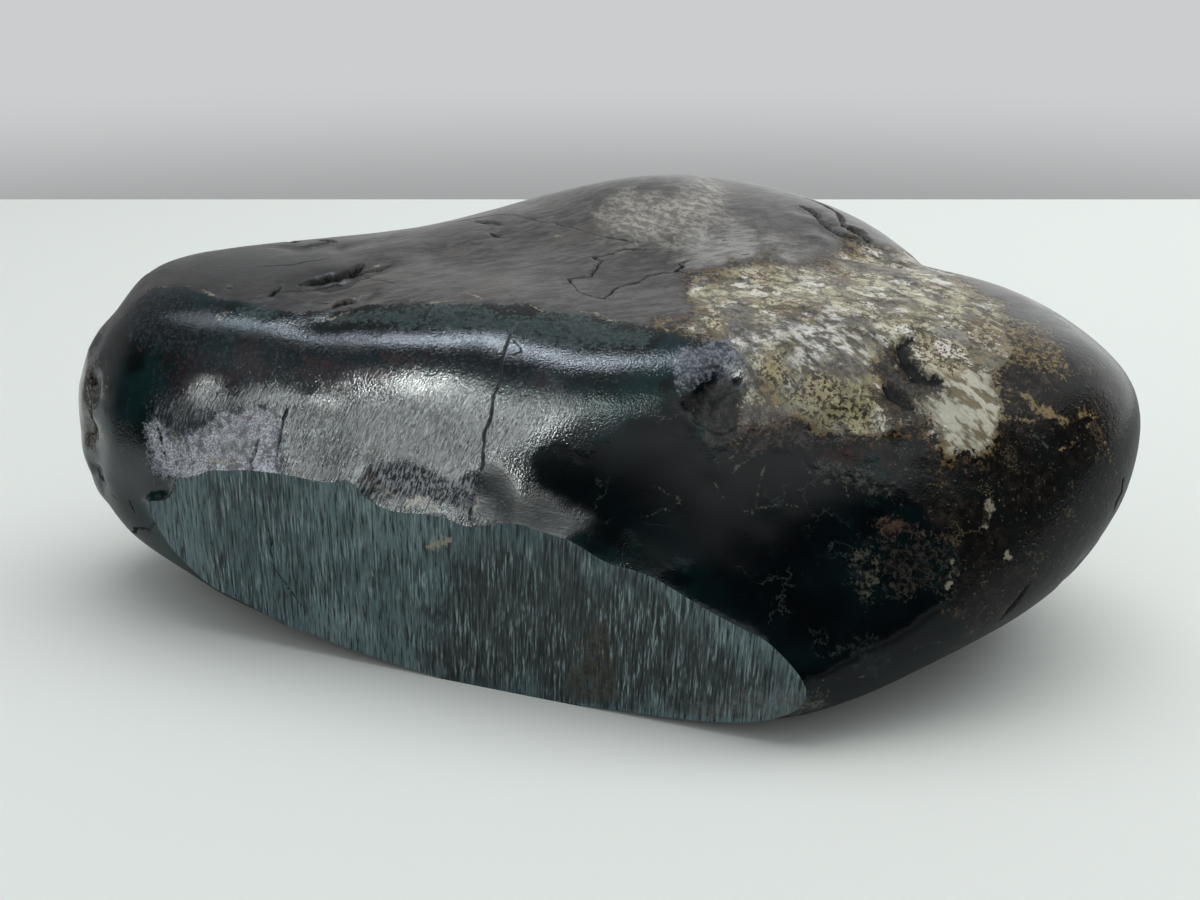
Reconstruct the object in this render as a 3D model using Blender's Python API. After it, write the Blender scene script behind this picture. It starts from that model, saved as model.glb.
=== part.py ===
"""Viewing stone: one dark green stone, ground smooth all round and sawn flat across its front.

The stone is a single closed solid.  Its form is a front body, bounded by soft flats as if each had
been ground by hand, that flows into a rounder hump behind it.  Hollows, ledges and bosses are
pressed into that form, and two plane cuts finish it: the sawn face and the flat that it rests on.

Lengths are in millimetres and angles in degrees until the mesh is scaled to metres.
Azimuth 0 faces the front (-Y) and 90 the right (+X); elevation 90 faces up.
Run it with:  blender --background --python part.py
"""
import math

import bmesh
import bpy
import numpy as np

MILLIMETRE = 0.001

# ---------------------------------------------------------------- the form
CORE = (4, -5, 38)              # the middle, from which every surface point is reached in a line
SOFTNESS = 6.25                 # how widely one ground flat rounds into the next

# Each ground flat: the azimuth and elevation that it faces, and its distance from the core.
GROUND_FLATS = {
    "top": (-10, 84, 28),
    "front_left": (-19, 27, 43),
    "front_middle": (-3, 35, 52),
    "front_belly": (1, 29, 46),
    "right_front": (38, 1, 89),
    "right_end": (92, -11, 98),
    "right_shoulder": (84, 55, 73),
    "left_end": (-93, 6, 103),
    "left_shoulder": (-68, 47, 98),
    "left_front": (-33, -12, 69),
    "left_underside": (-62, -49, 83.5),
    "right_underside": (49, -49, 76.5),
    "front_underside": (-16, -56, 81),
    "back": (192, -7, 48),
    "back_shoulder": (182, 40, 62),
    "right_back": (142, 16, 61),
    "left_back": (-151, -4, 76),
    "back_underside": (180, -40, 50),
    "bottom": (0, -90, 46.5),
    "bottom_left": (-90, -84, 48.5),
    "bottom_right": (90, -83, 45),
    "bottom_back": (180, -84, 46.5),
}

HUMP_CENTRE = (22, 28, 37)
HUMP_RADII = (59, 36.5, 40)
HUMP_BLEND = 16                 # width of the valley where the hump meets the front body

# ---------------------------------------------------------------- the two plane cuts
SAWN_FACE = (-19, 0, 47.5)      # azimuth, elevation, distance from the core
REST_HEIGHT = 38                # the flat underneath lies this far below the core

# ---------------------------------------------------------------- relief
# Each mark runs from one point to another: start, end, reach to either side, height (minus: depth).
RELIEF = {
    "left_rear_boss": ((-97, 2, 30), (-97, 2, 42), 16, 4.6),
    "left_rear_groove": ((-97, -13, 28), (-97, -13, 46), 4, -1.6),
    "hump_crown_dip": ((-6, 14, 76), (8, 14, 79), 17, -1.7),
    "hump_left_rise": ((-34, 15, 71), (-20, 15, 75), 15, 1.7),
    "white_boss": ((60, -46, 52), (66, -45, 50), 10, 1.3),
    "cream_boss": ((33, -36, 56), (45, -36, 57), 9, 1.0),
    "long_hollow": ((-57, -9, 63), (-42, -2, 66), 5, -2.6),
    "long_hollow_floor": ((-52, -8, 64), (-47, -5, 65), 3.5, -1.6),
    "small_hollow": ((-46, -16, 62), (-41, -15, 63), 3, -1.4),
    "rear_left_pits": ((-62, 15, 67), (-51, 12, 67), 3.5, -1.2),
    "dark_hollow": ((24, -42, 55), (23, -45, 50), 3.5, -2.8),
    "brown_gap": ((51, -37, 59), (58, -47, 50), 5, -2.0),
    "brown_gap_tail": ((43, -46, 49), (52, -48, 48), 4, -1.3),
    "hump_ledge": ((47, 12, 75), (62, 2, 68), 5, -1.5),
    "hump_valley": ((60, 1, 66), (76, 6, 60), 9, -1.2),
    "chipped_saw_edge": ((-34, -43, 35), (-14, -48, 31), 7, -1.9),
    "left_saw_edge": ((-76, -28, 38), (-78, -27, 26), 5, -1.2),
    "broken_rough_face": ((-66, -26, 40), (-48, -34, 41), 11, -1.0),
    "patch_hollow": ((50, -58, 31), (58, -56, 29), 8, -0.8),
    "right_rim_crack": ((92, -38, 28), (86, -44, 22), 4, -0.9),
    "back_long_ledge": ((-58, 24, 46), (-22, 52, 38), 7, -2.0),
    "back_boss": ((40, 60, 30), (52, 52, 36), 16, 2.2),
    "back_dent": ((4, 62, 50), (22, 60, 56), 17, -2.0),
    "back_pit": ((-8, 62, 34), (-3, 63, 31), 5, -2.2),
    "back_small_pit": ((66, 38, 34), (68, 36, 30), 4, -1.6),
    "right_back_ledge": ((84, 12, 48), (92, 2, 30), 6, -1.7),
    "underside_hollow": ((-60, 6, 6), (-40, 14, 3), 11, -1.8),
    "underside_pit": ((62, 4, 3), (66, 8, 4), 5, -1.5),
}

# Slow waves left by the hand grinding: height, wavelength and the direction that each runs in.
WAVES = {
    "long": (0.34, 46, (0.8, 0.3, 0.52)),
    "across": (0.26, 33, (-0.45, 0.85, 0.28)),
    "short": (0.17, 23, (0.3, -0.55, 0.78)),
}

# A ragged edge for the marks: each point is read this far from its place, in waves this long.
RAGGED_SHIFT = 1.1
RAGGED_LENGTHS = (9.5, 12.5, 7.5)

# ---------------------------------------------------------------- mesh density
SPHERE_LEVEL = 5                # an icosphere of 5120 triangles, before the fine areas are split
STRETCH = (1.5, 1.15, 1.0)      # spreads the sphere's points evenly over the long form
PLAIN_EDGE = 7.5                # longest edge on plain ground
RELIEF_EDGE = 0.42              # longest edge within a mark, as a share of its reach
FINEST_EDGE = 1.5               # no edge is split below about this length
SPLIT_PASSES = 3
TRIM_SNAP = 0.6                 # points this near a plane cut are taken as lying on it
RIM_STEP = 1.0                  # points around a cut that lie closer together become one


# ---------------------------------------------------------------- finding the surface
SURELY_INSIDE = 5               # this near the core is within the stone
SURELY_OUTSIDE = 160            # this far from the core is outside it
HALVINGS = 30


def facing(azimuth, elevation):
    """Unit vector that points to an azimuth and elevation."""
    turn = math.radians(azimuth)
    lift = math.radians(elevation)
    level = math.cos(lift)
    return np.array([math.sin(turn) * level, -math.cos(turn) * level, math.sin(lift)])


def front_body(points):
    """Distance outside the ground flats, rounded where two of them meet."""
    distances = []
    for azimuth, elevation, offset in GROUND_FLATS.values():
        distances.append((points - CORE) @ facing(azimuth, elevation) - offset)
    distances = np.array(distances)
    nearest = distances.max(axis=0)
    spill = np.exp((distances - nearest) / SOFTNESS).sum(axis=0)
    return nearest + SOFTNESS * np.log(spill)


def hump(points):
    """Distance outside the hump, an ellipsoid."""
    offset = points - np.array(HUMP_CENTRE, float)
    radii = np.array(HUMP_RADII, float)
    scaled = np.linalg.norm(offset / radii, axis=1)
    slope = np.linalg.norm(offset / radii ** 2, axis=1)
    return scaled * (scaled - 1) / np.maximum(slope, 1e-9)


def stone_form(points):
    """Distance outside the whole form: the body and the hump, joined by a soft valley."""
    body = front_body(points)
    bulge = hump(points)
    share = np.clip(0.5 + 0.5 * (bulge - body) / HUMP_BLEND, 0, 1)
    return bulge * (1 - share) + body * share - HUMP_BLEND * share * (1 - share)


def reach(directions):
    """How far the form extends from the core along each direction, by halving."""
    inner = np.full(len(directions), float(SURELY_INSIDE))
    outer = np.full(len(directions), float(SURELY_OUTSIDE))
    for _ in range(HALVINGS):
        middle = (inner + outer) / 2
        inside = stone_form(CORE + directions * middle[:, None]) < 0
        inner = np.where(inside, middle, inner)
        outer = np.where(inside, outer, middle)
    return (inner + outer) / 2


def distance_to_run(points, start, end):
    """Distance from each point to the straight run between two others."""
    start = np.array(start, float)
    run = np.array(end, float) - start
    along = np.clip((points - start) @ run / (run @ run), 0, 1)
    return np.linalg.norm(points - start - along[:, None] * run, axis=1)


def ragged(points):
    """Points shifted in short waves, so that what is drawn around them is no longer straight."""
    swirl = np.sin(np.roll(points, 1, axis=1) * math.tau / RAGGED_LENGTHS)
    cross = np.sin(np.roll(points, 2, axis=1) * math.tau / np.roll(RAGGED_LENGTHS, 1))
    return points + RAGGED_SHIFT * (swirl + cross)


def relief_height(points):
    """Height of the slow waves and of all hollows, ledges and bosses at points on the form."""
    height = np.zeros(len(points))
    for rise, length, heading in WAVES.values():
        height += rise * np.sin(points @ np.array(heading) * math.tau / length)
    read_from = ragged(points)
    for start, end, width, rise in RELIEF.values():
        fade = np.clip(1 - (distance_to_run(read_from, start, end) / width) ** 2, 0, 1)
        height += rise * fade ** 1.5
    return height


def wanted_edge(points):
    """Longest edge that each place should have: short where the relief is narrow."""
    wanted = np.full(len(points), float(PLAIN_EDGE))
    for start, end, width, _ in RELIEF.values():
        inside = distance_to_run(points, start, end) < width
        fine = max(RELIEF_EDGE * width, FINEST_EDGE)
        wanted = np.where(inside, np.minimum(wanted, fine), wanted)
    return wanted


def point_array(bm):
    return np.array([vertex.co for vertex in bm.verts])


def settle(bm):
    """Move every vertex, in a line from the core, to the surface with its relief."""
    outward = point_array(bm) - CORE
    directions = outward / np.linalg.norm(outward, axis=1)[:, None]
    ground = CORE + directions * reach(directions)[:, None]
    surface = ground + directions * relief_height(ground)[:, None]
    for vertex, place in zip(bm.verts, surface):
        vertex.co = place


def even_directions(bm):
    """Spread the sphere's vertices so that the long form gets even triangles."""
    spread = point_array(bm) * STRETCH
    for vertex, place in zip(bm.verts, spread):
        vertex.co = CORE + place / np.linalg.norm(place)


def split_long_edges(bm):
    """Split the edges that are too long for the relief around them."""
    middles = np.array([(edge.verts[0].co + edge.verts[1].co) / 2 for edge in bm.edges])
    limits = wanted_edge(middles)
    long_edges = [edge for edge, limit in zip(bm.edges, limits) if edge.calc_length() > limit]
    if long_edges:
        bmesh.ops.subdivide_edges(bm, edges=long_edges, cuts=1)
        bmesh.ops.triangulate(bm, faces=bm.faces[:], quad_method="BEAUTY", ngon_method="BEAUTY")


def cut_flat(bm, normal, offset):
    """Take off what lies beyond a plane, and close the cut with one flat face."""
    normal = np.array(normal, float)
    point = CORE + normal * offset
    everything = bm.verts[:] + bm.edges[:] + bm.faces[:]
    cut = bmesh.ops.bisect_plane(bm, geom=everything, dist=TRIM_SNAP, plane_co=point,
                                 plane_no=normal, clear_outer=True)["geom_cut"]
    ring = [item for item in cut if isinstance(item, bmesh.types.BMVert)]
    for vertex in ring:
        vertex.co = np.array(vertex.co) - ((np.array(vertex.co) - point) @ normal) * normal
    bmesh.ops.remove_doubles(bm, verts=ring, dist=RIM_STEP)
    bmesh.ops.triangulate(bm, faces=bm.faces[:], quad_method="BEAUTY", ngon_method="BEAUTY")
    rim = [edge for edge in bm.edges if edge.is_boundary]
    cap = bmesh.ops.contextual_create(bm, geom=rim)["faces"]
    bmesh.ops.triangulate(bm, faces=cap, quad_method="BEAUTY", ngon_method="BEAUTY")


def stand_at_origin(bm):
    """Put the origin in the middle of the underside."""
    places = point_array(bm)
    low = places.min(axis=0)
    high = places.max(axis=0)
    middle = np.array([(low[0] + high[0]) / 2, (low[1] + high[1]) / 2, low[2]])
    for vertex, place in zip(bm.verts, places - middle):
        vertex.co = place * MILLIMETRE
        if place[2] < 1e-3:
            vertex.co.z = 0


def stone_mesh():
    bm = bmesh.new()
    bmesh.ops.create_icosphere(bm, subdivisions=SPHERE_LEVEL, radius=1)
    even_directions(bm)
    settle(bm)
    for _ in range(SPLIT_PASSES):
        split_long_edges(bm)
        settle(bm)
    azimuth, elevation, offset = SAWN_FACE
    cut_flat(bm, facing(azimuth, elevation), offset)
    cut_flat(bm, (0, 0, -1), REST_HEIGHT)
    stand_at_origin(bm)
    bmesh.ops.recalc_face_normals(bm, faces=bm.faces[:])
    mesh = bpy.data.meshes.new("stone")
    bm.to_mesh(mesh)
    bm.free()
    return mesh


def stone_material():
    material = bpy.data.materials.new("polished_green_stone")
    material.use_nodes = True
    shader = material.node_tree.nodes["Principled BSDF"]
    shader.inputs["Base Color"].default_value = (0.010, 0.022, 0.022, 1)
    shader.inputs["Roughness"].default_value = 0.3
    shader.inputs["Metallic"].default_value = 0
    return material


def main():
    for item in list(bpy.data.objects):
        bpy.data.objects.remove(item, do_unlink=True)
    mesh = stone_mesh()
    mesh.materials.append(stone_material())
    stone = bpy.data.objects.new("stone", mesh)
    bpy.context.scene.collection.objects.link(stone)
    mesh.shade_smooth()
    mesh.set_sharp_from_angle(angle=math.radians(40))


main()
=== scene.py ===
import math
import random

import bpy
import numpy as np
from mathutils import Matrix, Vector
from mathutils.bvhtree import BVHTree


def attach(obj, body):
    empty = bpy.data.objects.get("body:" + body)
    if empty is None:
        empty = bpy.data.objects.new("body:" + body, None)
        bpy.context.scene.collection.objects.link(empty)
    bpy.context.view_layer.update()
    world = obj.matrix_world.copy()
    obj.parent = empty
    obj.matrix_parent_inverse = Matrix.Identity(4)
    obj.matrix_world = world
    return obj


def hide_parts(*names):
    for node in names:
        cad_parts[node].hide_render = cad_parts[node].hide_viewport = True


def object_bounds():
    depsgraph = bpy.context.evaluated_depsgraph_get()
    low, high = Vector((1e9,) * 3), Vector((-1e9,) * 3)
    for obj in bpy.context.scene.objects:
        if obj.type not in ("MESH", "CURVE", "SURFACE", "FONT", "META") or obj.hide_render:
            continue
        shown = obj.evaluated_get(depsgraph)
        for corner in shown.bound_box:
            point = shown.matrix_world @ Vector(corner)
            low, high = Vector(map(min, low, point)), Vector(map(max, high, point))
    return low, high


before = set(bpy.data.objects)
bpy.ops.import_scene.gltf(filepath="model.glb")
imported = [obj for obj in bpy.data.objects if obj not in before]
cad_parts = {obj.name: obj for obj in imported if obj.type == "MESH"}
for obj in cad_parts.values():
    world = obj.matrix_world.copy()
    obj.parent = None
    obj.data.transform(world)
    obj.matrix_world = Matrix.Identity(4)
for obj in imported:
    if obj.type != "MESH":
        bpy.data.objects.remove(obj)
CAD_BOX = [list(corner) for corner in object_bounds()]

# Lengths are millimetres in the numpy code and metres in Blender.
MM = 0.001

# ------------------------------------------------------------------ camera
# A place on the stone is given by its pixel (across, down) in the camera's own 1200 by 900 view.
VIEW_WIDTH = 1200
VIEW_HEIGHT = 900
FOCAL_PIXELS = 1200.0
SENSOR_WIDTH = 36.0
CAMERA_PLACE = np.array([4.0, -231.5, 120.5])
CAMERA_PITCH = math.radians(22)         # below level
AHEAD = np.array([0, math.cos(CAMERA_PITCH), -math.sin(CAMERA_PITCH)])
RIGHT = np.array([1.0, 0, 0])
UP = np.array([0, math.sin(CAMERA_PITCH), math.cos(CAMERA_PITCH)])


def make_camera():
    data = bpy.data.cameras.new("camera")
    data.sensor_fit = "HORIZONTAL"
    data.sensor_width = SENSOR_WIDTH
    data.lens = FOCAL_PIXELS / VIEW_WIDTH * SENSOR_WIDTH
    data.clip_start = 0.01
    camera = bpy.data.objects.new("camera", data)
    camera.location = Vector(CAMERA_PLACE) * MM
    camera.rotation_euler = (math.pi / 2 - CAMERA_PITCH, 0, 0)
    bpy.context.scene.collection.objects.link(camera)
    bpy.context.scene.camera = camera


def pixels_of(points):
    """Where points in millimetres are seen, and how many pixels a millimetre covers there."""
    offset = points - CAMERA_PLACE
    depth = offset @ AHEAD
    across = VIEW_WIDTH / 2 + FOCAL_PIXELS * (offset @ RIGHT) / depth
    down = VIEW_HEIGHT / 2 - FOCAL_PIXELS * (offset @ UP) / depth
    return np.stack([across, down], axis=1), FOCAL_PIXELS / depth


def facing_camera(points, normals):
    """1 where the surface squarely faces the camera, 0 at its outline, negative behind."""
    toward = CAMERA_PLACE - points
    toward /= np.linalg.norm(toward, axis=1)[:, None]
    return (toward * normals).sum(axis=1)


# ------------------------------------------------------------------ small sums
def ramp(value, low, high):
    """0 below low, 1 above high, eased between them."""
    part = np.clip((value - low) / (high - low), 0, 1)
    return part * part * (3 - 2 * part)


def cell_number(cells, seed):
    """A repeatable number from 0 to 1 for each whole-numbered cell."""
    mixed = (cells * np.array([374761393, 668265263, 1440662683])).sum(axis=-1) + seed * 1274126177
    mixed = (mixed ^ (mixed >> 13)) * 1103515245
    mixed = mixed ^ (mixed >> 16)
    return (mixed & 0xFFFFFF) / float(0xFFFFFF)


def noise(points, size, seed=0, layers=1):
    """Smooth noise of about -1 to 1 with features of the given size, and finer ones in further layers."""
    total = np.zeros(len(points))
    height = 1.0
    for layer in range(layers):
        place = points * 2 ** layer / size + 1000.0
        cell = np.floor(place).astype(np.int64)
        part = place - cell
        part = part * part * (3 - 2 * part)
        shares = (1 - part, part)
        for x, y, z in np.ndindex(2, 2, 2):
            weight = shares[x][:, 0] * shares[y][:, 1] * shares[z][:, 2]
            total += height * weight * (cell_number(cell + np.array([x, y, z]), seed + layer * 17) * 2 - 1)
        height *= 0.5
    return total


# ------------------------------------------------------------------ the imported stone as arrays
GROUND, SAWN, BASE = 0, 1, 2            # the three surfaces: worn stone, sawn face, flat underside
SAWN_AZIMUTH = math.radians(-19)
SAWN_OUT = np.array([math.sin(SAWN_AZIMUTH), -math.cos(SAWN_AZIMUTH), 0])
ON_FLAT = 0.05                          # how near a flat a point lies to be on it


def packed_stone():
    """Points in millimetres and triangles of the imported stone, with doubled points joined."""
    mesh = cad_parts["stone"].data
    mesh.calc_loop_triangles()
    places = np.empty(len(mesh.vertices) * 3)
    mesh.vertices.foreach_get("co", places)
    corners = np.empty(len(mesh.loop_triangles) * 3, dtype=np.int32)
    mesh.loop_triangles.foreach_get("vertices", corners)
    places = places.reshape(-1, 3) / MM
    _, where, back = np.unique(np.round(places, 3), axis=0, return_index=True, return_inverse=True)
    faces = back.reshape(-1)[corners].reshape(-1, 3)
    whole = (faces[:, 0] != faces[:, 1]) & (faces[:, 1] != faces[:, 2]) & (faces[:, 2] != faces[:, 0])
    return places[where], faces[whole]


def surface_of(points, faces):
    """Which of the three surfaces each triangle belongs to."""
    along = points[faces] @ SAWN_OUT
    kind = np.full(len(faces), GROUND)
    kind[(along > (points @ SAWN_OUT).max() - ON_FLAT).all(axis=1)] = SAWN
    kind[(points[faces][:, :, 2] < ON_FLAT).all(axis=1)] = BASE
    return kind


def triangle_normals(points, faces):
    """Normals as long as twice each triangle's area."""
    corner = points[faces]
    return np.cross(corner[:, 1] - corner[:, 0], corner[:, 2] - corner[:, 0])


def gathered(faces, values, size):
    """The sum at each point of a value of its triangles."""
    total = np.zeros((size, values.shape[1]))
    for corner in range(3):
        for axis in range(values.shape[1]):
            total[:, axis] += np.bincount(faces[:, corner], values[:, axis], size)
    return total


def point_normals(points, faces, kind):
    """Normals at the points; on the rim of a flat they are the worn surface's own."""
    normals = triangle_normals(points, faces)
    worn = kind == GROUND
    total = gathered(faces[worn], normals[worn], len(points))
    inside_flat = np.linalg.norm(total, axis=1) < 1e-9
    total[inside_flat] = gathered(faces, normals, len(points))[inside_flat]
    return total / (np.linalg.norm(total, axis=1)[:, None] + 1e-12)


def edge_table(faces, kind):
    """Each edge once, each triangle's three edges, and the lowest and highest surface at each edge."""
    sides = np.concatenate([faces[:, [0, 1]], faces[:, [1, 2]], faces[:, [2, 0]]])
    size = faces.max() + 1
    codes, back = np.unique(sides.min(axis=1) * size + sides.max(axis=1), return_inverse=True)
    edges = np.stack([codes // size, codes % size], axis=1)
    of_face = back.reshape(3, -1).T
    low = np.full(len(edges), BASE)
    high = np.full(len(edges), GROUND)
    for side in range(3):
        np.minimum.at(low, of_face[:, side], kind)
        np.maximum.at(high, of_face[:, side], kind)
    return edges, of_face, low, high


ROUNDING = 0.6                          # how far a new point moves out to the curved surface
MOST_ROUNDING = 0.12                    # of the edge's length


def middle_points(points, normals, edges, low, high):
    """Middles of the edges, moved out to the curved surface where both sides are worn stone."""
    first, second = points[edges[:, 0]], points[edges[:, 1]]
    start, end = normals[edges[:, 0]], normals[edges[:, 1]]
    middle = (first + second) / 2
    from_start = middle - ((middle - first) * start).sum(axis=1)[:, None] * start
    from_end = middle - ((middle - second) * end).sum(axis=1)[:, None] * end
    shift = ROUNDING * ((from_start + from_end) / 2 - middle)
    most = MOST_ROUNDING * np.linalg.norm(second - first, axis=1)
    shift *= np.minimum(1, most / (np.linalg.norm(shift, axis=1) + 1e-9))[:, None]
    return np.where((high == GROUND)[:, None], middle + shift, middle)


def split_once(points, faces, kind, wanted):
    """Split every edge that is longer than wanted, keeping the mesh closed."""
    edges, of_face, low, high = edge_table(faces, kind)
    normals = point_normals(points, faces, kind)
    middle = middle_points(points, normals, edges, low, high)
    direction = normals[edges[:, 0]] + normals[edges[:, 1]]
    length = np.linalg.norm(points[edges[:, 1]] - points[edges[:, 0]], axis=1)
    split = length > wanted(middle, direction / 2)
    number = np.full(len(edges), -1)
    number[split] = len(points) + np.arange(split.sum())
    made = number[of_face]
    count = (made >= 0).sum(axis=1)
    pieces = [(count == 0, faces[count == 0])]
    full = count == 3
    a, b, c = faces[full].T
    ab, bc, ca = made[full].T
    for corners in ((a, ab, ca), (ab, b, bc), (ca, bc, c), (ab, bc, ca)):
        pieces.append((full, np.stack(corners, axis=1)))
    for turn in range(3):
        order = [turn, (turn + 1) % 3, (turn + 2) % 3]
        one = (count == 1) & (made[:, turn] >= 0)
        a, b, c = faces[one][:, order].T
        ab = made[one, turn]
        pieces.append((one, np.stack([a, ab, c], axis=1)))
        pieces.append((one, np.stack([ab, b, c], axis=1)))
        two = (count == 2) & (made[:, order[2]] < 0)
        a, b, c = faces[two][:, order].T
        ab, bc = made[two][:, order[:2]].T
        pieces.append((two, np.stack([b, bc, ab], axis=1)))
        pieces.append((two, np.stack([a, ab, bc], axis=1)))
        pieces.append((two, np.stack([a, bc, c], axis=1)))
    new_faces = np.concatenate([corners for _, corners in pieces])
    new_kind = np.concatenate([kind[chosen] for chosen, _ in pieces])
    return np.concatenate([points, middle[split]]), new_faces, new_kind


# A pull toward the neighbours and a slightly longer push back, so that the stone doesn't shrink.
PULL, PUSH_BACK = 0.5, -0.52


def smooth(points, faces, kind, rounds):
    """Even out the worn surface; points on the rim of a flat only slide along the rim."""
    edges, _, low, high = edge_table(faces, kind)
    on_flat = np.zeros(len(points), bool)
    on_ground = np.zeros(len(points), bool)
    on_flat[faces[kind != GROUND].ravel()] = True
    on_ground[faces[kind == GROUND].ravel()] = True
    rim = on_flat & on_ground
    free = on_ground & ~on_flat
    seam = low != high
    near = np.concatenate([edges[:, 0], edges[:, 1]])
    far = np.concatenate([edges[:, 1], edges[:, 0]])
    keep = free[near] | (rim[near] & np.concatenate([seam, seam]))
    near, far = near[keep], far[keep]
    count = np.bincount(near, minlength=len(points))
    moves = free | (rim & (count == 2))
    for step in range(rounds * 2):
        total = np.stack([np.bincount(near, points[far, axis], len(points)) for axis in range(3)], axis=1)
        pull = total[moves] / count[moves, None] - points[moves]
        points[moves] += (PULL if step % 2 == 0 else PUSH_BACK) * pull
    return points


# ------------------------------------------------------------------ marks on the surface
packed_points, packed_faces = packed_stone()
SKIN = BVHTree.FromPolygons(packed_points.tolist(), packed_faces.tolist())
LINE_STEP = 0.35                        # millimetres between the points of a drawn line
RAGGED_SIZES = (1.4, 4.5)               # millimetres along a line from one bend to the next
RAMBLING_WANDER = 0.12
FAR_AWAY = 99.0                         # the distance of points out of a line's reach
MOST_AT_ONCE = 4000000                  # distances worked out in one go
LINE_REACH = 4.0                        # millimetres from a line within which it has any effect


def seen_at(pixel):
    """The place on the stone that the camera sees at a pixel."""
    ray = AHEAD + RIGHT * (pixel[0] - VIEW_WIDTH / 2) / FOCAL_PIXELS
    ray = ray + UP * (VIEW_HEIGHT / 2 - pixel[1]) / FOCAL_PIXELS
    hit = SKIN.ray_cast(Vector(CAMERA_PLACE), Vector(ray))[0]
    if hit is None:
        hit = SKIN.find_nearest(Vector(CAMERA_PLACE + ray * np.linalg.norm(CAMERA_PLACE)))[0]
    return np.array(hit)


def drawn(pixels, wander, seed):
    """A line over the stone through some pixels, with a ragged course."""
    corners = [seen_at(pixel) for pixel in pixels]
    line = []
    for start, end in zip(corners, corners[1:]):
        steps = max(1, int(np.linalg.norm(end - start) / LINE_STEP))
        line += [start + (end - start) * step / steps for step in range(steps)]
    return laid(np.array(line + [corners[-1]]), wander, seed)


def laid(line, wander, seed):
    """The line with a ragged course, laid back on the stone."""
    shift = [sum(noise(line, size, seed + axis) for size in RAGGED_SIZES) for axis in range(3)]
    line = line + wander * np.stack(shift, axis=1)
    return np.array([SKIN.find_nearest(Vector(place))[0] for place in line])


def rambling(start, heading, length, turning, seed):
    """A line that rambles over the stone from a place in millimetres."""
    choose = random.Random(seed)
    place, normal = SKIN.find_nearest(Vector(start))[:2]
    ahead = Vector(heading)
    line = []
    bend = 0.0
    for _ in range(int(length / LINE_STEP)):
        line.append(np.array(place))
        bend = 0.92 * bend + choose.uniform(-turning, turning)
        ahead = Matrix.Rotation(bend * LINE_STEP, 3, normal) @ ahead
        ahead = (ahead - normal * ahead.dot(normal)).normalized()
        place, normal = SKIN.find_nearest(place + ahead * LINE_STEP)[:2]
    return laid(np.array(line), RAMBLING_WANDER, seed)


def from_line(points, line):
    """Each point's distance from a line and how far along it the nearest place is, from 0 to 1."""
    distance = np.full(len(points), FAR_AWAY)
    along = np.zeros(len(points))
    low, high = line.min(axis=0) - LINE_REACH, line.max(axis=0) + LINE_REACH
    chosen = np.flatnonzero(((points > low) & (points < high)).all(axis=1))
    first, span = line[:-1], line[1:] - line[:-1]
    for part in np.array_split(chosen, max(1, len(chosen) * len(span) // MOST_AT_ONCE)):
        offset = points[part, None] - first[None]
        place = np.clip((offset * span).sum(axis=2) / ((span * span).sum(axis=1) + 1e-12), 0, 1)
        apart = np.linalg.norm(offset - place[:, :, None] * span, axis=2)
        best = apart.argmin(axis=1)
        distance[part] = apart[np.arange(len(part)), best]
        along[part] = (best + place[np.arange(len(part)), best]) / len(span)
    return distance, along


def inside_outline(places, outline):
    """Signed distance in pixels from a closed outline, positive inside it."""
    corners = np.array(outline, float)
    ends = np.roll(corners, -1, axis=0)
    inside = np.zeros(len(places), bool)
    distance = np.full(len(places), np.inf)
    for (x0, y0), (x1, y1) in zip(corners, ends):
        span = np.array([x1 - x0, y1 - y0])
        offset = places - (x0, y0)
        place = np.clip(offset @ span / (span @ span), 0, 1)
        distance = np.minimum(distance, np.linalg.norm(offset - place[:, None] * span, axis=1))
        crosses = (y0 > places[:, 1]) != (y1 > places[:, 1])
        if y0 != y1:
            inside ^= crosses & (places[:, 0] < x0 + (places[:, 1] - y0) * (x1 - x0) / (y1 - y0))
    return np.where(inside, distance, -distance)


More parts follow.
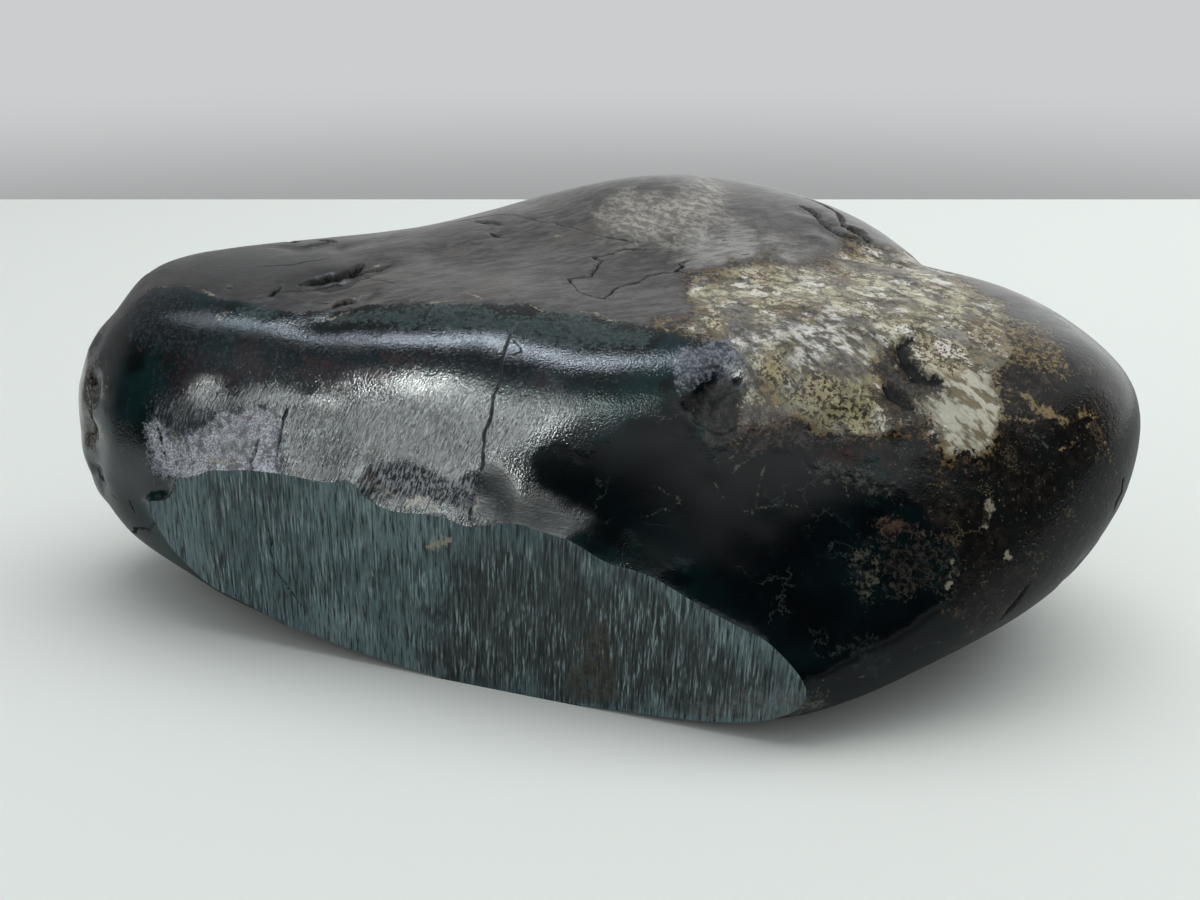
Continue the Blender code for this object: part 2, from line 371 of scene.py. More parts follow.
# ------------------------------------------------------------------ what is drawn on the stone
# Cracks: half width and depth in millimetres, then the pixels they run through.
CRACKS = {
    "long_crack": (0.11, 0.3, [(517, 322), (512, 330), (509, 338), (506, 350), (502, 361), (500, 378),
        (497, 392), (493, 402), (491, 413), (488, 427), (484, 441), (483, 456), (479, 475), (476, 490),
        (472, 506), (468, 523)]),
    "long_crack_branch": (0.08, 0.25, [(513, 339), (517, 345), (520, 351), (512, 355)]),
    "rough_crack": (0.15, 0.8, [(286, 410), (283, 420), (280, 432), (279, 441), (276, 452), (275, 470)]),
    "rough_crack_left": (0.17, 0.7, [(265, 404), (262, 415)]),
    "rough_crack_low": (0.17, 0.7, [(257, 440), (254, 452), (250, 463), (255, 475)]),
    "sawn_crack": (0.15, 0.7, [(261, 492), (263, 505), (263, 519), (268, 530), (270, 545), (273, 562),
        (281, 578), (291, 592), (300, 608)]),
    "top_crack": (0.24, 0.8, [(562, 284), (571, 283), (568, 279), (590, 277), (596, 268), (602, 262),
        (594, 256), (607, 254), (624, 249), (645, 249), (662, 249), (668, 245)]),
    "top_crack_loop": (0.14, 0.5, [(569, 280), (574, 287), (580, 293), (592, 297), (604, 299), (611, 293),
        (619, 286), (639, 282), (648, 276), (662, 273), (675, 272), (685, 261)]),
    "top_crack_zigzag": (0.2, 0.5, [(688, 260), (677, 262), (683, 266), (675, 270), (684, 272)]),
    "ridge_line": (0.15, 0.3, [(440, 224), (470, 219), (501, 214), (542, 221), (567, 226), (593, 234),
        (624, 239), (664, 244)]),
    "ridge_line_end": (0.15, 0.3, [(593, 234), (629, 242), (649, 240), (664, 247), (685, 244), (700, 248)]),
    "hump_crack_near": (0.3, 0.9, [(798, 205), (812, 211), (822, 222), (838, 234), (858, 239)]),
    "hump_crack_far": (0.35, 1.0, [(806, 198), (826, 206), (838, 214), (845, 226), (862, 236), (872, 240)]),
    "left_crumbs": (0.22, 0.5, [(131, 532), (140, 529), (150, 530), (158, 522)]),
    "left_rim_crack": (0.24, 0.6, [(115, 512), (123, 524), (134, 533)]),
    "left_edge_crack": (0.22, 0.5, [(97, 468), (100, 476), (105, 484)]),
    "left_nicks": (0.16, 0.4, [(107, 484), (111, 493), (118, 500)]),
    "left_nicks_low": (0.16, 0.4, [(130, 500), (134, 509), (137, 516)]),
    "knob_groove": (0.25, 0.5, [(88, 385), (90, 400), (92, 420), (94, 440)]),
    "right_end_crack": (0.26, 0.7, [(1123, 478), (1121, 492), (1116, 502), (1112, 514)]),
    "right_low_crack": (0.32, 0.8, [(1032, 578), (1024, 590), (1013, 605), (998, 622)]),
    "hollow_rim": (0.22, 0.5, [(702, 424), (712, 432), (722, 434), (735, 430)]),
    "wrinkle_high": (0.15, 0.3, [(258, 266), (290, 264), (330, 258)]),
    "wrinkle_long": (0.15, 0.3, [(255, 297), (272, 292), (300, 291), (335, 285), (370, 279), (395, 283)]),
    "wrinkle_low": (0.13, 0.3, [(282, 302), (300, 300), (331, 303)]),
}
# Open hollows, in the same terms.
HOLLOWS = {
    "long_hollow": (0.75, 1.5, [(300, 285), (314, 282), (330, 279), (346, 275), (356, 270), (364, 264)]),
    "long_hollow_end": (0.5, 0.8, [(350, 278), (366, 272), (380, 270), (392, 265)]),
    "left_hollow": (0.55, 1.1, [(268, 294), (277, 290), (283, 284)]),
    "small_hollow": (0.5, 1.0, [(332, 307), (341, 303), (355, 300)]),
    "slate_pit": (0.45, 0.7, [(226, 286), (234, 288)]),
    "rear_pit_left": (0.5, 0.7, [(281, 240), (296, 242)]),
    "rear_pit_middle": (0.45, 0.7, [(302, 247), (318, 244), (330, 243)]),
    "rear_pit_right": (0.5, 0.7, [(320, 240), (337, 242)]),
    "hump_pit_left": (0.45, 0.7, [(474, 221), (500, 224)]),
    "hump_pit_low": (0.4, 0.6, [(488, 232), (500, 236)]),
    "dark_hollow": (0.34, 0.5, [(738, 389), (724, 396), (714, 404), (709, 414), (713, 424)]),
    "gap_upper": (1.3, 1.7, [(912, 334), (900, 346), (906, 362), (918, 376), (944, 380)]),
    "gap_lower": (1.0, 1.3, [(884, 382), (896, 396), (914, 410)]),
    "edge_groove": (0.4, 0.6, [(156, 428), (159, 444), (163, 460)]),
    "hump_gap": (0.9, 1.1, [(848, 226), (860, 232), (868, 241)]),
}
# Colour alone, as half width and pixels.
THREADS = {
    "belly_beige": (0.2, [(645, 489), (660, 487), (666, 494), (677, 496), (681, 501), (672, 508),
        (655, 512), (640, 519)]),
    "belly_arch": (0.2, [(728, 481), (735, 470), (745, 461), (756, 455), (768, 452)]),
    "belly_arch_low": (0.16, [(720, 461), (733, 456), (741, 446)]),
    "belly_stem": (0.22, [(752, 516), (755, 502), (759, 490), (762, 478), (764, 463)]),
    "belly_bar": (0.18, [(745, 512), (764, 506), (782, 503), (800, 505)]),
    "belly_hook": (0.14, [(800, 461), (805, 470), (815, 477), (822, 480)]),
    "belly_drop": (0.12, [(842, 478), (848, 488), (849, 500)]),
    "belly_low": (0.16, [(700, 476), (716, 484), (726, 498)]),
    "hollow_threads": (0.18, [(688, 396), (692, 408), (694, 418)]),
    "hollow_threads_right": (0.14, [(698, 400), (701, 410)]),
    "front_pale": (0.13, [(279, 343), (275, 368), (269, 394), (264, 412)]),
    "front_pale_scribble": (0.15, [(304, 368), (315, 376), (322, 384), (331, 392), (345, 398), (356, 402)]),
    "front_pale_cross": (0.13, [(318, 372), (316, 384), (330, 380), (342, 386)]),
    "sparkle_thread": (0.14, [(372, 344), (390, 341), (412, 344)]),
    "right_loop": (0.24, [(1026, 419), (1034, 434), (1046, 446), (1058, 449)]),
    "gap_hair": (0.14, [(886, 424), (898, 432), (911, 440)]),
    "right_low_fleck": (0.2, [(1025, 560), (1034, 566), (1037, 573)]),
    "sawn_hook": (0.2, [(648, 668), (649, 678), (656, 682), (664, 679)]),
    "sawn_streak": (0.3, [(392, 586), (394, 604), (390, 622)]),
    "sawn_dash": (0.45, [(230, 503), (234, 508), (239, 517)]),
    "rim_light": (0.16, [(820, 680), (850, 677), (880, 674)]),
    "left_line": (0.14, [(100, 352), (106, 362), (108, 385), (107, 410)]),
}
CREAM_FLECKS = {
    "slate_blob": (0.7, [(214, 318), (221, 315), (229, 311)]),
    "slate_top_left": (0.28, [(141, 293), (146, 286), (152, 283)]),
    "slate_top": (0.2, [(150, 288), (165, 286), (182, 285), (196, 288)]),
    "slate_top_right": (0.3, [(196, 291), (204, 289), (213, 296), (222, 297)]),
    "ochre_scribble": (0.26, [(312, 313), (315, 318), (322, 317), (331, 319), (339, 316)]),
    "ochre_blob": (0.4, [(339, 313), (346, 313), (351, 310)]),
    "fringe_left": (0.22, [(420, 302), (436, 301), (450, 300), (462, 298)]),
    "fringe": (0.28, [(462, 292), (474, 294), (484, 299)]),
    "fringe_right": (0.22, [(528, 304), (538, 308), (544, 311)]),
    "skin_edge_right": (0.3, [(583, 311), (597, 314), (606, 319), (620, 321)]),
    "skin_edge_far": (0.35, [(636, 323), (652, 326), (668, 330)]),
    "hump_glint": (0.3, [(546, 232), (553, 234), (562, 236)]),
    "long_hollow_glint": (0.4, [(366, 270), (372, 267), (378, 265)]),
    "ledge": (0.6, [(404, 506), (414, 502), (426, 498)]),
    "ledge_long": (0.3, [(408, 504), (424, 506), (440, 509)]),
    "sawn_cluster": (0.8, [(428, 547), (438, 543), (450, 538)]),
    "sawn_spot": (0.7, [(371, 575), (374, 575)]),
    "lip_left": (0.3, [(183, 460), (196, 458), (214, 461), (232, 464), (248, 467)]),
    "lip_dots": (0.4, [(220, 458), (226, 462)]),
    "lip_right": (0.22, [(340, 480), (360, 482), (376, 488), (396, 498)]),
    "edge_step_left": (0.22, [(152, 428), (152, 444), (155, 462)]),
    "edge_step_right": (0.3, [(163, 426), (172, 434), (178, 446), (184, 456)]),
    "right_white": (0.8, [(987, 496), (991, 506), (990, 520)]),
    "right_white_low": (0.5, [(984, 516), (986, 530)]),
    "right_fleck": (0.8, [(1005, 553), (1012, 558)]),
    "patch_bright": (0.6, [(952, 560), (957, 575), (948, 590)]),
    "cracked_lip": (0.4, [(478, 497), (476, 510), (474, 520)]),
}
GOLD_SEAMS = {
    "right_band": (0.9, [(1012, 391), (1026, 396), (1040, 408), (1056, 417), (1074, 423)]),
    "right_crown": (0.6, [(1070, 424), (1084, 414), (1096, 416), (1108, 420)]),
    "right_loop_end": (0.35, [(1090, 422), (1082, 434), (1072, 446), (1058, 449)]),
    "right_branch": (0.4, [(1096, 424), (1104, 442), (1110, 458), (1116, 476)]),
    "right_fork": (0.35, [(996, 414), (1016, 419), (1040, 419)]),
    "seam_right": (0.7, [(958, 373), (975, 362), (992, 352), (1010, 348), (1030, 351), (1046, 358)]),
    "gap_rim_left": (0.7, [(872, 340), (880, 352), (878, 364)]),
    "gap_rim_low": (0.5, [(876, 372), (882, 384), (888, 396)]),
    "foot_seam": (0.6, [(752, 394), (768, 388), (780, 400), (796, 411), (812, 418), (834, 424)]),
    "glitter_seam": (0.6, [(768, 352), (770, 366), (762, 382)]),
}
RED_STREAKS = {
    "left_vein": (0.3, [(124, 341), (133, 341), (141, 349), (150, 353), (156, 357), (168, 352), (178, 354),
        (187, 363)]),
    "saw_spot": (1.1, [(364, 479), (372, 478), (380, 482)]),
    "dark_band": (0.8, [(300, 354), (314, 360), (330, 364)]),
    "dark_band_right": (1.2, [(376, 352), (396, 358), (412, 366), (420, 374)]),
    "dark_band_low": (0.7, [(366, 370), (380, 374), (392, 380)]),
    "crust_foot": (0.6, [(742, 428), (752, 434), (764, 430)]),
    "disc_rim": (0.3, [(217, 436), (222, 424), (238, 417), (254, 420), (262, 434), (258, 452)]),
    "skin_band": (0.7, [(628, 312), (646, 316), (668, 322)]),
    "lip": (0.7, [(466, 528), (476, 526), (488, 522)]),
    "rind_red": (0.6, [(926, 482), (934, 492), (940, 500)]),
    "rear_rust": (0.5, [(324, 244), (334, 245)]),
}
DARK_LINES = {
    "front_arc": (0.25, [(284, 412), (300, 409), (318, 410), (338, 413), (360, 420)]),
    "disc_line": (0.18, [(200, 456), (206, 450), (213, 448), (220, 446)]),
    "disc_spot": (0.4, [(240, 444), (241, 448)]),
    "sawn_yellow": (0.2, [(470, 530), (462, 552), (452, 580), (444, 602), (432, 640), (420, 668)]),
    "crust_line_left": (0.3, [(722, 300), (742, 303), (760, 312), (776, 320)]),
    "crust_line_top": (0.3, [(735, 262), (742, 274), (740, 284)]),
    "crust_line_middle": (0.3, [(782, 268), (795, 276), (806, 290)]),
    "crust_line_right": (0.3, [(868, 330), (882, 340), (888, 346)]),
    "crust_line_low": (0.4, [(838, 396), (848, 412), (860, 420)]),
    "crust_edge_low": (0.5, [(745, 386), (760, 384), (775, 376)]),
    "crust_seam": (0.3, [(812, 380), (822, 374), (836, 388)]),
}
# Lines on the sides the camera doesn't see: half width, start, heading, length, turning, seed.
FAR_CRACKS = {
    "back_main": (0.24, (-40, 58, 42), (1, 0.2, -0.35), 62, 0.12, 3),
    "back_main_branch": (0.18, (-12, 62, 36), (0.6, 0, 1), 24, 0.16, 8),
    "back_high": (0.2, (30, 60, 56), (-1, 0.2, 0.5), 38, 0.14, 11),
    "back_right": (0.22, (70, 34, 44), (0.2, 0.4, -1), 34, 0.14, 14),
    "left_end": (0.2, (-96, 10, 44), (0.2, 0.6, -1), 30, 0.14, 19),
    "right_end": (0.22, (99, -6, 34), (-0.3, 1, 0.25), 42, 0.14, 23),
    "hump_top": (0.17, (4, 34, 76), (1, 0.35, 0), 40, 0.16, 29),
    "under_long": (0.22, (-70, 20, 8), (1, 0.5, -0.2), 58, 0.12, 31),
}
FAR_CRACK_DEPTH = 0.7
FAR_THREADS = {
    "back_pale": (0.2, (-70, 44, 26), (1, 0.3, 0.5), 46, 0.2, 37),
    "back_pale_low": (0.18, (-20, 64, 14), (1, 0, 0.25), 52, 0.22, 41),
    "back_pale_right": (0.22, (50, 52, 22), (1, -0.4, 0.4), 40, 0.22, 43),
    "left_pale": (0.16, (-98, -6, 30), (0.1, 1, -0.3), 36, 0.22, 47),
    "right_pale": (0.22, (96, -18, 22), (0.2, 1, -0.2), 38, 0.22, 53),
}
# How far a drawn line strays from its straight stretches, in millimetres.
CRACK_WANDER = 0.28
COLOUR_WANDER = 0.3


def all_cracks():
    """Every crack and hollow as half width, depth and line."""
    made = []
    for seed, (half_width, depth, pixels) in enumerate([*CRACKS.values(), *HOLLOWS.values()]):
        made.append((half_width, depth, drawn(pixels, CRACK_WANDER, seed * 7)))
    for half_width, start, heading, length, turning, seed in FAR_CRACKS.values():
        made.append((half_width, FAR_CRACK_DEPTH, rambling(start, heading, length, turning, seed)))
    return made


def colour_lines(strokes, far=()):
    """Strokes of colour alone as half width and line."""
    made = []
    for half_width, pixels in strokes.values():
        made.append((half_width, drawn(pixels, COLOUR_WANDER, pixels[0][0])))
    for half_width, start, heading, length, turning, seed in far:
        made.append((half_width, rambling(start, heading, length, turning, seed)))
    return made


cracks = all_cracks()
strokes = {
    "thread": colour_lines(THREADS, FAR_THREADS.values()),
    "cream": colour_lines(CREAM_FLECKS),
    "gold": colour_lines(GOLD_SEAMS),
    "red": colour_lines(RED_STREAKS),
    "dark_line": colour_lines(DARK_LINES),
}

# ------------------------------------------------------------------ the fine mesh
VISIBLE_EDGE = 1.5
HIDDEN_EDGE = 2.6
FINEST_EDGE = 0.32
CRACK_EDGES = (2.3, FINEST_EDGE, 0.8)   # edge over a crack's half width, and the limits of the edge
COLOUR_EDGES = (3.0, 0.6, 1.0)
LINE_MARGIN = 0.5                       # how far from a line the mesh is fine
MESH_SIZES = (4.0, 2.0, 1.0, FINEST_EDGE)
SPLITS = 3                              # times an edge may be halved at each size


def edges_wanted():
    """The triangle edge wanted in each cell of a 1 mm grid, and the place of the grid's first cell."""
    origin = packed_points.min(axis=0) - 4
    wanted = np.full(np.ceil(packed_points.max(axis=0) - origin + 5).astype(int), HIDDEN_EDGE)
    lines = [(half_width, line, CRACK_EDGES) for half_width, _, line in cracks]
    for group in strokes.values():
        lines += [(half_width, line, COLOUR_EDGES) for half_width, line in group]
    for half_width, line, (share, least, most) in lines:
        for shift in np.ndindex(3, 3, 3):
            cell = np.floor(line + LINE_MARGIN * (np.array(shift) - 1) - origin).astype(int)
            place = (cell[:, 0], cell[:, 1], cell[:, 2])
            wanted[place] = np.minimum(wanted[place], np.clip(share * half_width, least, most))
    return wanted, origin


def fine_mesh():
    """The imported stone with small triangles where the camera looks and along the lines."""
    points, faces = packed_points.copy(), packed_faces
    kind = surface_of(points, faces)
    at_lines, origin = edges_wanted()

    def wanted(middle, normals):
        cell = np.floor(middle - origin).astype(int)
        seen = ramp(facing_camera(middle, normals), -0.15, 0.1)
        size = HIDDEN_EDGE + (VISIBLE_EDGE - HIDDEN_EDGE) * seen
        return np.maximum(np.minimum(size, at_lines[cell[:, 0], cell[:, 1], cell[:, 2]]), smallest)

    for smallest in MESH_SIZES:
        for _ in range(SPLITS):
            points, faces, kind = split_once(points, faces, kind, wanted)
        points = smooth(points, faces, kind, 2 if smallest > 1 else 1)
    return points, faces, kind


points, faces, kind = fine_mesh()
normals = point_normals(points, faces, kind)
places, pixels_per_mm = pixels_of(points)
seen = ramp(facing_camera(points, normals), -0.12, 0.12)

# ------------------------------------------------------------------ regions
# Directions that streaks run in.
CRUST_STREAKS = (0.66, -0.4, -0.64)
SKIN_STREAKS = (1, 0.25, 0)
SAW_STROKES = (0.04, 0, 1)
POLISH_STROKES = (0.42, 0.34, 0.83)
SWEPT_STROKES = (1, -0.3, -0.08)
OUTSIDE = -9.0                          # the field of a region where the camera doesn't see
DEEP = 30.0                             # millimetres beyond which the skin's field no longer grows
FAR_UNEVEN = 3.5                        # how far noise pushes the outlines of the unseen patches
# Outlines in pixels of the camera's view.
OUTLINES = {
    "crust": [(662, 322), (690, 316), (688, 286), (712, 276), (726, 262), (760, 256), (800, 260),
        (850, 244), (900, 250), (935, 262), (975, 288), (1004, 306), (1014, 340), (1000, 368), (1008, 392),
        (1002, 420), (990, 447), (980, 459), (964, 458), (948, 470), (934, 468), (938, 445), (928, 422),
        (905, 427), (885, 426), (868, 429), (846, 431), (820, 426), (800, 416), (790, 424), (765, 425),
        (740, 440), (727, 432), (722, 412), (732, 396), (742, 388), (745, 362), (738, 344), (712, 338),
        (690, 335)],
    "white": [(920, 392), (935, 388), (960, 381), (966, 372), (985, 372), (1006, 396), (1000, 420),
        (988, 430), (991, 447), (979, 459), (964, 446), (950, 451), (944, 427), (925, 420), (916, 405)],
    # painted glints: grey crust with near-white streaks painted where it glints
    "crust_glints": [(744, 330), (770, 322), (800, 318), (830, 312), (862, 322), (868, 345), (862, 358),
        (838, 352), (815, 356), (822, 372), (800, 378), (785, 362), (792, 340), (765, 345), (750, 352)],
    "olive": [(765, 345), (790, 336), (812, 345), (805, 360), (790, 366), (786, 384), (820, 378),
        (850, 384), (882, 394), (882, 420), (850, 426), (815, 412), (788, 400), (768, 380)],
    # painted shade: the gap is painted near-black inside, with its own gold-brown specks
    "shaded_gap": [(884, 352), (900, 336), (918, 332), (922, 350), (918, 372), (945, 378), (948, 388), (925, 391),
        (916, 403), (925, 420), (905, 426), (884, 422), (877, 400), (880, 380), (870, 364)],
    "mauve": [(820, 357), (838, 353), (862, 359), (867, 376), (846, 383), (828, 374)],
    "mauve_low": [(740, 405), (765, 399), (786, 408), (792, 421), (765, 426), (742, 426)],
    "grey_film": [(724, 302), (742, 298), (760, 308), (776, 318), (758, 326), (742, 340), (726, 330)],
    "maroon": [(812, 444), (838, 446), (850, 440), (868, 443), (850, 459), (825, 459)],
    "foot": [(818, 459), (836, 460), (846, 470), (870, 477), (894, 482), (890, 489), (860, 486), (838, 479),
        (820, 472)],
    "foot_upper": [(738, 440), (756, 428), (790, 428), (820, 432), (848, 434), (862, 434), (850, 446),
        (815, 444), (780, 440), (752, 452)],
    "pink_bar": [(884, 525), (894, 521), (940, 531), (950, 539), (935, 541), (905, 539), (888, 533)],
    "grey_patch": [(880, 546), (900, 541), (940, 543), (955, 558), (959, 580), (945, 602), (930, 590),
        (900, 590), (885, 570)],
    "speckle": [(857, 544), (866, 544), (868, 563), (880, 558), (881, 580), (872, 600), (860, 605),
        (857, 580)],
    "low_patch": [(846, 648), (856, 641), (872, 640), (884, 648), (886, 662), (868, 664), (852, 658)],
    "rind": [(1008, 300), (1060, 318), (1180, 380), (1180, 560), (1000, 680), (965, 660), (955, 610),
        (958, 560), (945, 530), (930, 500), (905, 484), (884, 470), (875, 445), (884, 426), (920, 425),
        (938, 445), (934, 468), (948, 470), (980, 459), (1002, 420), (1008, 392), (1000, 368), (1014, 340)],
    "rough": [(158, 420), (172, 436), (186, 440), (205, 430), (216, 420), (240, 412), (262, 410),
        (283, 425), (280, 488), (218, 485), (184, 480), (170, 480), (160, 475), (152, 462), (150, 432)],
    "brushed": [(150, 404), (162, 398), (197, 394), (268, 392), (352, 402), (414, 396), (456, 390),
        (518, 390), (560, 396), (578, 408), (545, 428), (515, 444), (488, 455), (478, 474), (486, 500),
        (496, 530), (500, 560), (480, 560), (430, 545), (386, 520), (315, 500), (218, 490), (165, 480),
        (150, 450)],
    "mottled": [(180, 352), (243, 336), (300, 346), (370, 350), (440, 356), (500, 366), (560, 370),
        (590, 392), (520, 394), (456, 394), (414, 400), (352, 406), (268, 398), (200, 396), (166, 402),
        (160, 372)],
    "sawn_dark": [(440, 560), (480, 545), (560, 545), (700, 600), (800, 700), (700, 716), (577, 706),
        (500, 694), (420, 668), (432, 620)],
    "disc": [(218, 444), (224, 428), (238, 422), (252, 427), (259, 442), (252, 458), (236, 463),
        (222, 457)],
    "swept": [(488, 470), (520, 492), (552, 506), (596, 518), (570, 528), (530, 532), (494, 528),
        (480, 515)],
    "slate": [(118, 330), (134, 306), (150, 292), (182, 290), (214, 302), (232, 312), (226, 334),
        (204, 352), (170, 352), (154, 352), (135, 340)],
    "red_patch": [(160, 360), (170, 352), (184, 352), (196, 360), (186, 376), (168, 374)],
    # painted highlight: a rough patch painted bluish-light where the ridge's highlight falls
    "ridge_highlight_patch": [(672, 362), (680, 350), (704, 343), (730, 340), (743, 350), (740, 368), (722, 382),
        (695, 384), (678, 376)],
    "brown_stain": [(568, 690), (572, 660), (585, 640), (597, 622), (606, 630), (604, 650), (618, 668),
        (612, 692), (590, 702)],
    "pale_corner": [(690, 704), (720, 694), (760, 690), (806, 694), (826, 708), (790, 722), (700, 722)],
    "belly": [(528, 476), (570, 452), (620, 440), (650, 430), (700, 440), (760, 445), (880, 478),
        (950, 540), (962, 600), (960, 680), (820, 710), (760, 650), (700, 590), (600, 530), (548, 506)],
    "knob": [(60, 340), (84, 342), (92, 352), (96, 380), (97, 430), (95, 450), (60, 452)],
    "lip": [(350, 462), (400, 464), (440, 468), (480, 474), (478, 504), (440, 506), (400, 498), (356, 486)],
    "gold_edge": [(1004, 316), (1028, 322), (1046, 340), (1066, 356), (1078, 372), (1058, 374), (1040, 364),
        (1020, 358), (1002, 350)],
    # painted shade: the hollow is painted near-black inside, with brown grains
    "shaded_hollow": [(702, 382), (724, 378), (744, 384), (745, 400), (738, 416), (730, 434), (712, 436),
        (698, 424), (692, 402)],
    # painted reflection: a lighter teal-grey over the green, standing in for the backdrop's sheen above the
    # ridge
    "teal_sheen_band": [(236, 308), (300, 320), (370, 312), (440, 308), (530, 310), (600, 322), (650, 332),
        (640, 344), (560, 344), (500, 340), (440, 331), (380, 322), (320, 322), (250, 322)],
    # painted shade: the top-left skin is painted darker where it catches less sheen
    "skin_painted_shade": [(110, 300), (150, 262), (230, 236), (290, 232), (340, 246), (330, 290), (240, 300),
        (150, 286)],
    "film": [(686, 240), (720, 232), (770, 238), (812, 252), (780, 264), (730, 264), (694, 258)],
    "hump": [(598, 214), (640, 192), (700, 184), (724, 200), (716, 232), (680, 246), (630, 240)],
}
# The skin's lower edge across the front, left to right.
SKIN_EDGE = [(60, 296), (103, 334), (122, 316), (138, 298), (152, 287), (182, 286), (214, 298),
             (240, 301), (262, 307), (300, 314), (345, 311), (368, 304), (410, 301), (440, 303),
             (480, 303), (529, 305), (545, 311), (583, 313), (603, 318), (652, 327), (680, 333),
             (705, 344), (760, 340), (850, 330), (950, 320), (1060, 330), (1200, 400)]
# Height of the skin's edge round the stone, by azimuth in degrees, where the camera doesn't see it.
SKIN_HEIGHTS = [(-180, 25), (-150, 33), (-90, 53), (-60, 44), (-30, 14), (0, 6), (40, 12), (70, 26),
                (95, 20), (125, 30), (150, 16), (180, 25)]


def outline_field(name):
    """Signed millimetres from a region's outline; behind the stone it is far outside."""
    field = inside_outline(places, OUTLINES[name]) / pixels_per_mm
    return np.where(seen > 0, field, OUTSIDE) * seen + OUTSIDE * (1 - seen)


def skin_field():
    """Millimetres inside the brown skin, negative outside it."""
    across, down = np.array(SKIN_EDGE, float).T
    level = np.interp(places[:, 0], across, down)
    front = (level - places[:, 1]) / pixels_per_mm
    azimuth = np.degrees(np.arctan2(points[:, 1], points[:, 0]))
    turn, height = np.array(SKIN_HEIGHTS, float).T
    back = points[:, 2] - np.interp(azimuth, turn, height) + 5 * noise(points, 17, 5, 2)
    return np.clip(front, -DEEP, DEEP) * seen + np.clip(back, -DEEP, DEEP) * (1 - seen)


# How far noise pushes the large regions' outlines, in millimetres.
UNEVEN = {"crust": 2.0, "white": 1.0, "crust_glints": 2.5, "olive": 2.5, "rind": 2.4, "rough": 1.2,
          "brushed": 1.2, "mottled": 1.6, "swept": 2.0, "sawn_dark": 4.0, "belly": 4.0, "skin": 0.6,
          "hump": 3.0, "film": 2.0, "skin_painted_shade": 4.0}
# Small patches: dark and light colour of their grains, and how much of the patch shows.
PATCHES = {
    "slate": ((10, 15, 20), (42, 52, 58), 0.85),
    # painted shade: near-black inside the hollow, with brown grains
    "shaded_hollow": ((4, 5, 6), (44, 40, 36), 1.0),
    # painted reflection: lighter teal-grey standing in for the backdrop's sheen above the ridge highlight
    "teal_sheen_band": ((44, 60, 62), (66, 80, 80), 0.8),
    "gold_edge": ((30, 27, 20), (140, 120, 76), 0.75),
    "disc": ((70, 73, 78), (108, 108, 112), 0.6),
    "mauve": ((62, 58, 57), (112, 106, 100), 0.85),
    "mauve_low": ((48, 40, 38), (92, 82, 76), 0.85),
    "grey_film": ((48, 48, 50), (116, 112, 106), 0.85),
    # painted shade: near-black inside the gap, with its own gold-brown specks
    "shaded_gap": ((4, 4, 4), (66, 51, 30), 1.0),
    "foot_upper": ((24, 20, 20), (72, 66, 60), 0.75),
    "foot": ((12, 22, 20), (84, 84, 76), 0.6),
    "maroon": ((22, 9, 9), (52, 26, 24), 0.8),
    "grey_patch": ((9, 13, 13), (60, 56, 51), 0.7),
    "speckle": ((16, 21, 20), (88, 86, 77), 0.65),
    "low_patch": ((9, 16, 16), (40, 46, 43), 0.65),
    "pink_bar": ((44, 33, 30), (84, 66, 59), 0.8),
    "red_patch": ((20, 12, 14), (46, 30, 31), 0.6),
    "knob": ((50, 47, 42), (96, 92, 84), 0.9),
    "brown_stain": ((30, 27, 22), (70, 62, 46), 0.75),
    "pale_corner": ((58, 60, 56), (96, 96, 88), 0.55),
    # painted highlight: bluish-light paint where the ridge's highlight falls on a rough patch
    "ridge_highlight_patch": ((38, 44, 52), (112, 118, 132), 0.85),
}
PATCH_UNEVEN = 1.6
# Lines drawn in colour alone: colour and strength.
LINE_COLOURS = {
    "red": ((62, 40, 38), 0.55),
    "dark_line": ((16, 16, 15), 0.7),
    "thread": ((96, 96, 86), 0.5),
    "cream": ((150, 144, 124), 0.75),
    "gold": ((138, 122, 84), 0.85),
}
# Patches where the camera doesn't see: places in millimetres and sizes.
FAR_CRUST = [((60, 44, 44), 11), ((74, 30, 52), 9), ((-18, 64, 24), 9), ((-30, 60, 32), 6),
             ((-88, 24, 20), 7), ((40, 58, 20), 7)]
FAR_ROUGH = [((-60, 48, 20), 12), ((10, 66, 30), 8), ((92, 14, 16), 8), ((0, -20, 0), 18)]
FAR_RIND = [((104, 2, 34), 26), ((92, 26, 30), 18), ((86, 30, 50), 12), ((0, 66, 10), 16),
            ((-50, 54, 30), 14)]
# Cloudy noises: size in millimetres, layers, seed, then a direction and how far it is drawn out that way.
CLOUDS = {
    "broad": (15, 4, 101),
    "coarse": (6, 5, 103),
    "patchy": (4, 4, 107),
    "hair": (6.5, 4, 109),
    "skin_cloud": (7, 5, 113, SKIN_STREAKS, 2.0),
    "crust_cloud": (4, 4, 127, CRUST_STREAKS, 2.4),
}


def patches(spots, seed):
    """Signed millimetres from some round patches with uneven outlines."""
    field = np.full(len(points), OUTSIDE)
    for place, size in spots:
        centre = np.array(SKIN.find_nearest(Vector(place))[0])
        field = np.maximum(field, size - np.linalg.norm(points - centre, axis=1))
    return field + FAR_UNEVEN * noise(points, 8, seed, 3)


def clouds(size, layers, seed, direction=(1, 0, 0), stretch=1.0):
    """Noise at the points round 0.5, drawn out along a direction."""
    axis = np.array(direction) / np.linalg.norm(direction)
    place = points - np.outer(points @ axis, axis) * (1 - 1 / stretch)
    return 0.5 + 0.25 * noise(place, size, seed, layers)


def line_width(half_width, along):
    """A line's half width, which tapers at its ends and swells and shrinks unevenly."""
    taper = 0.35 + 0.65 * np.sqrt(np.clip(np.sin(np.pi * along), 0, 1))
    return half_width * taper * (1.05 + 0.6 * swelling)


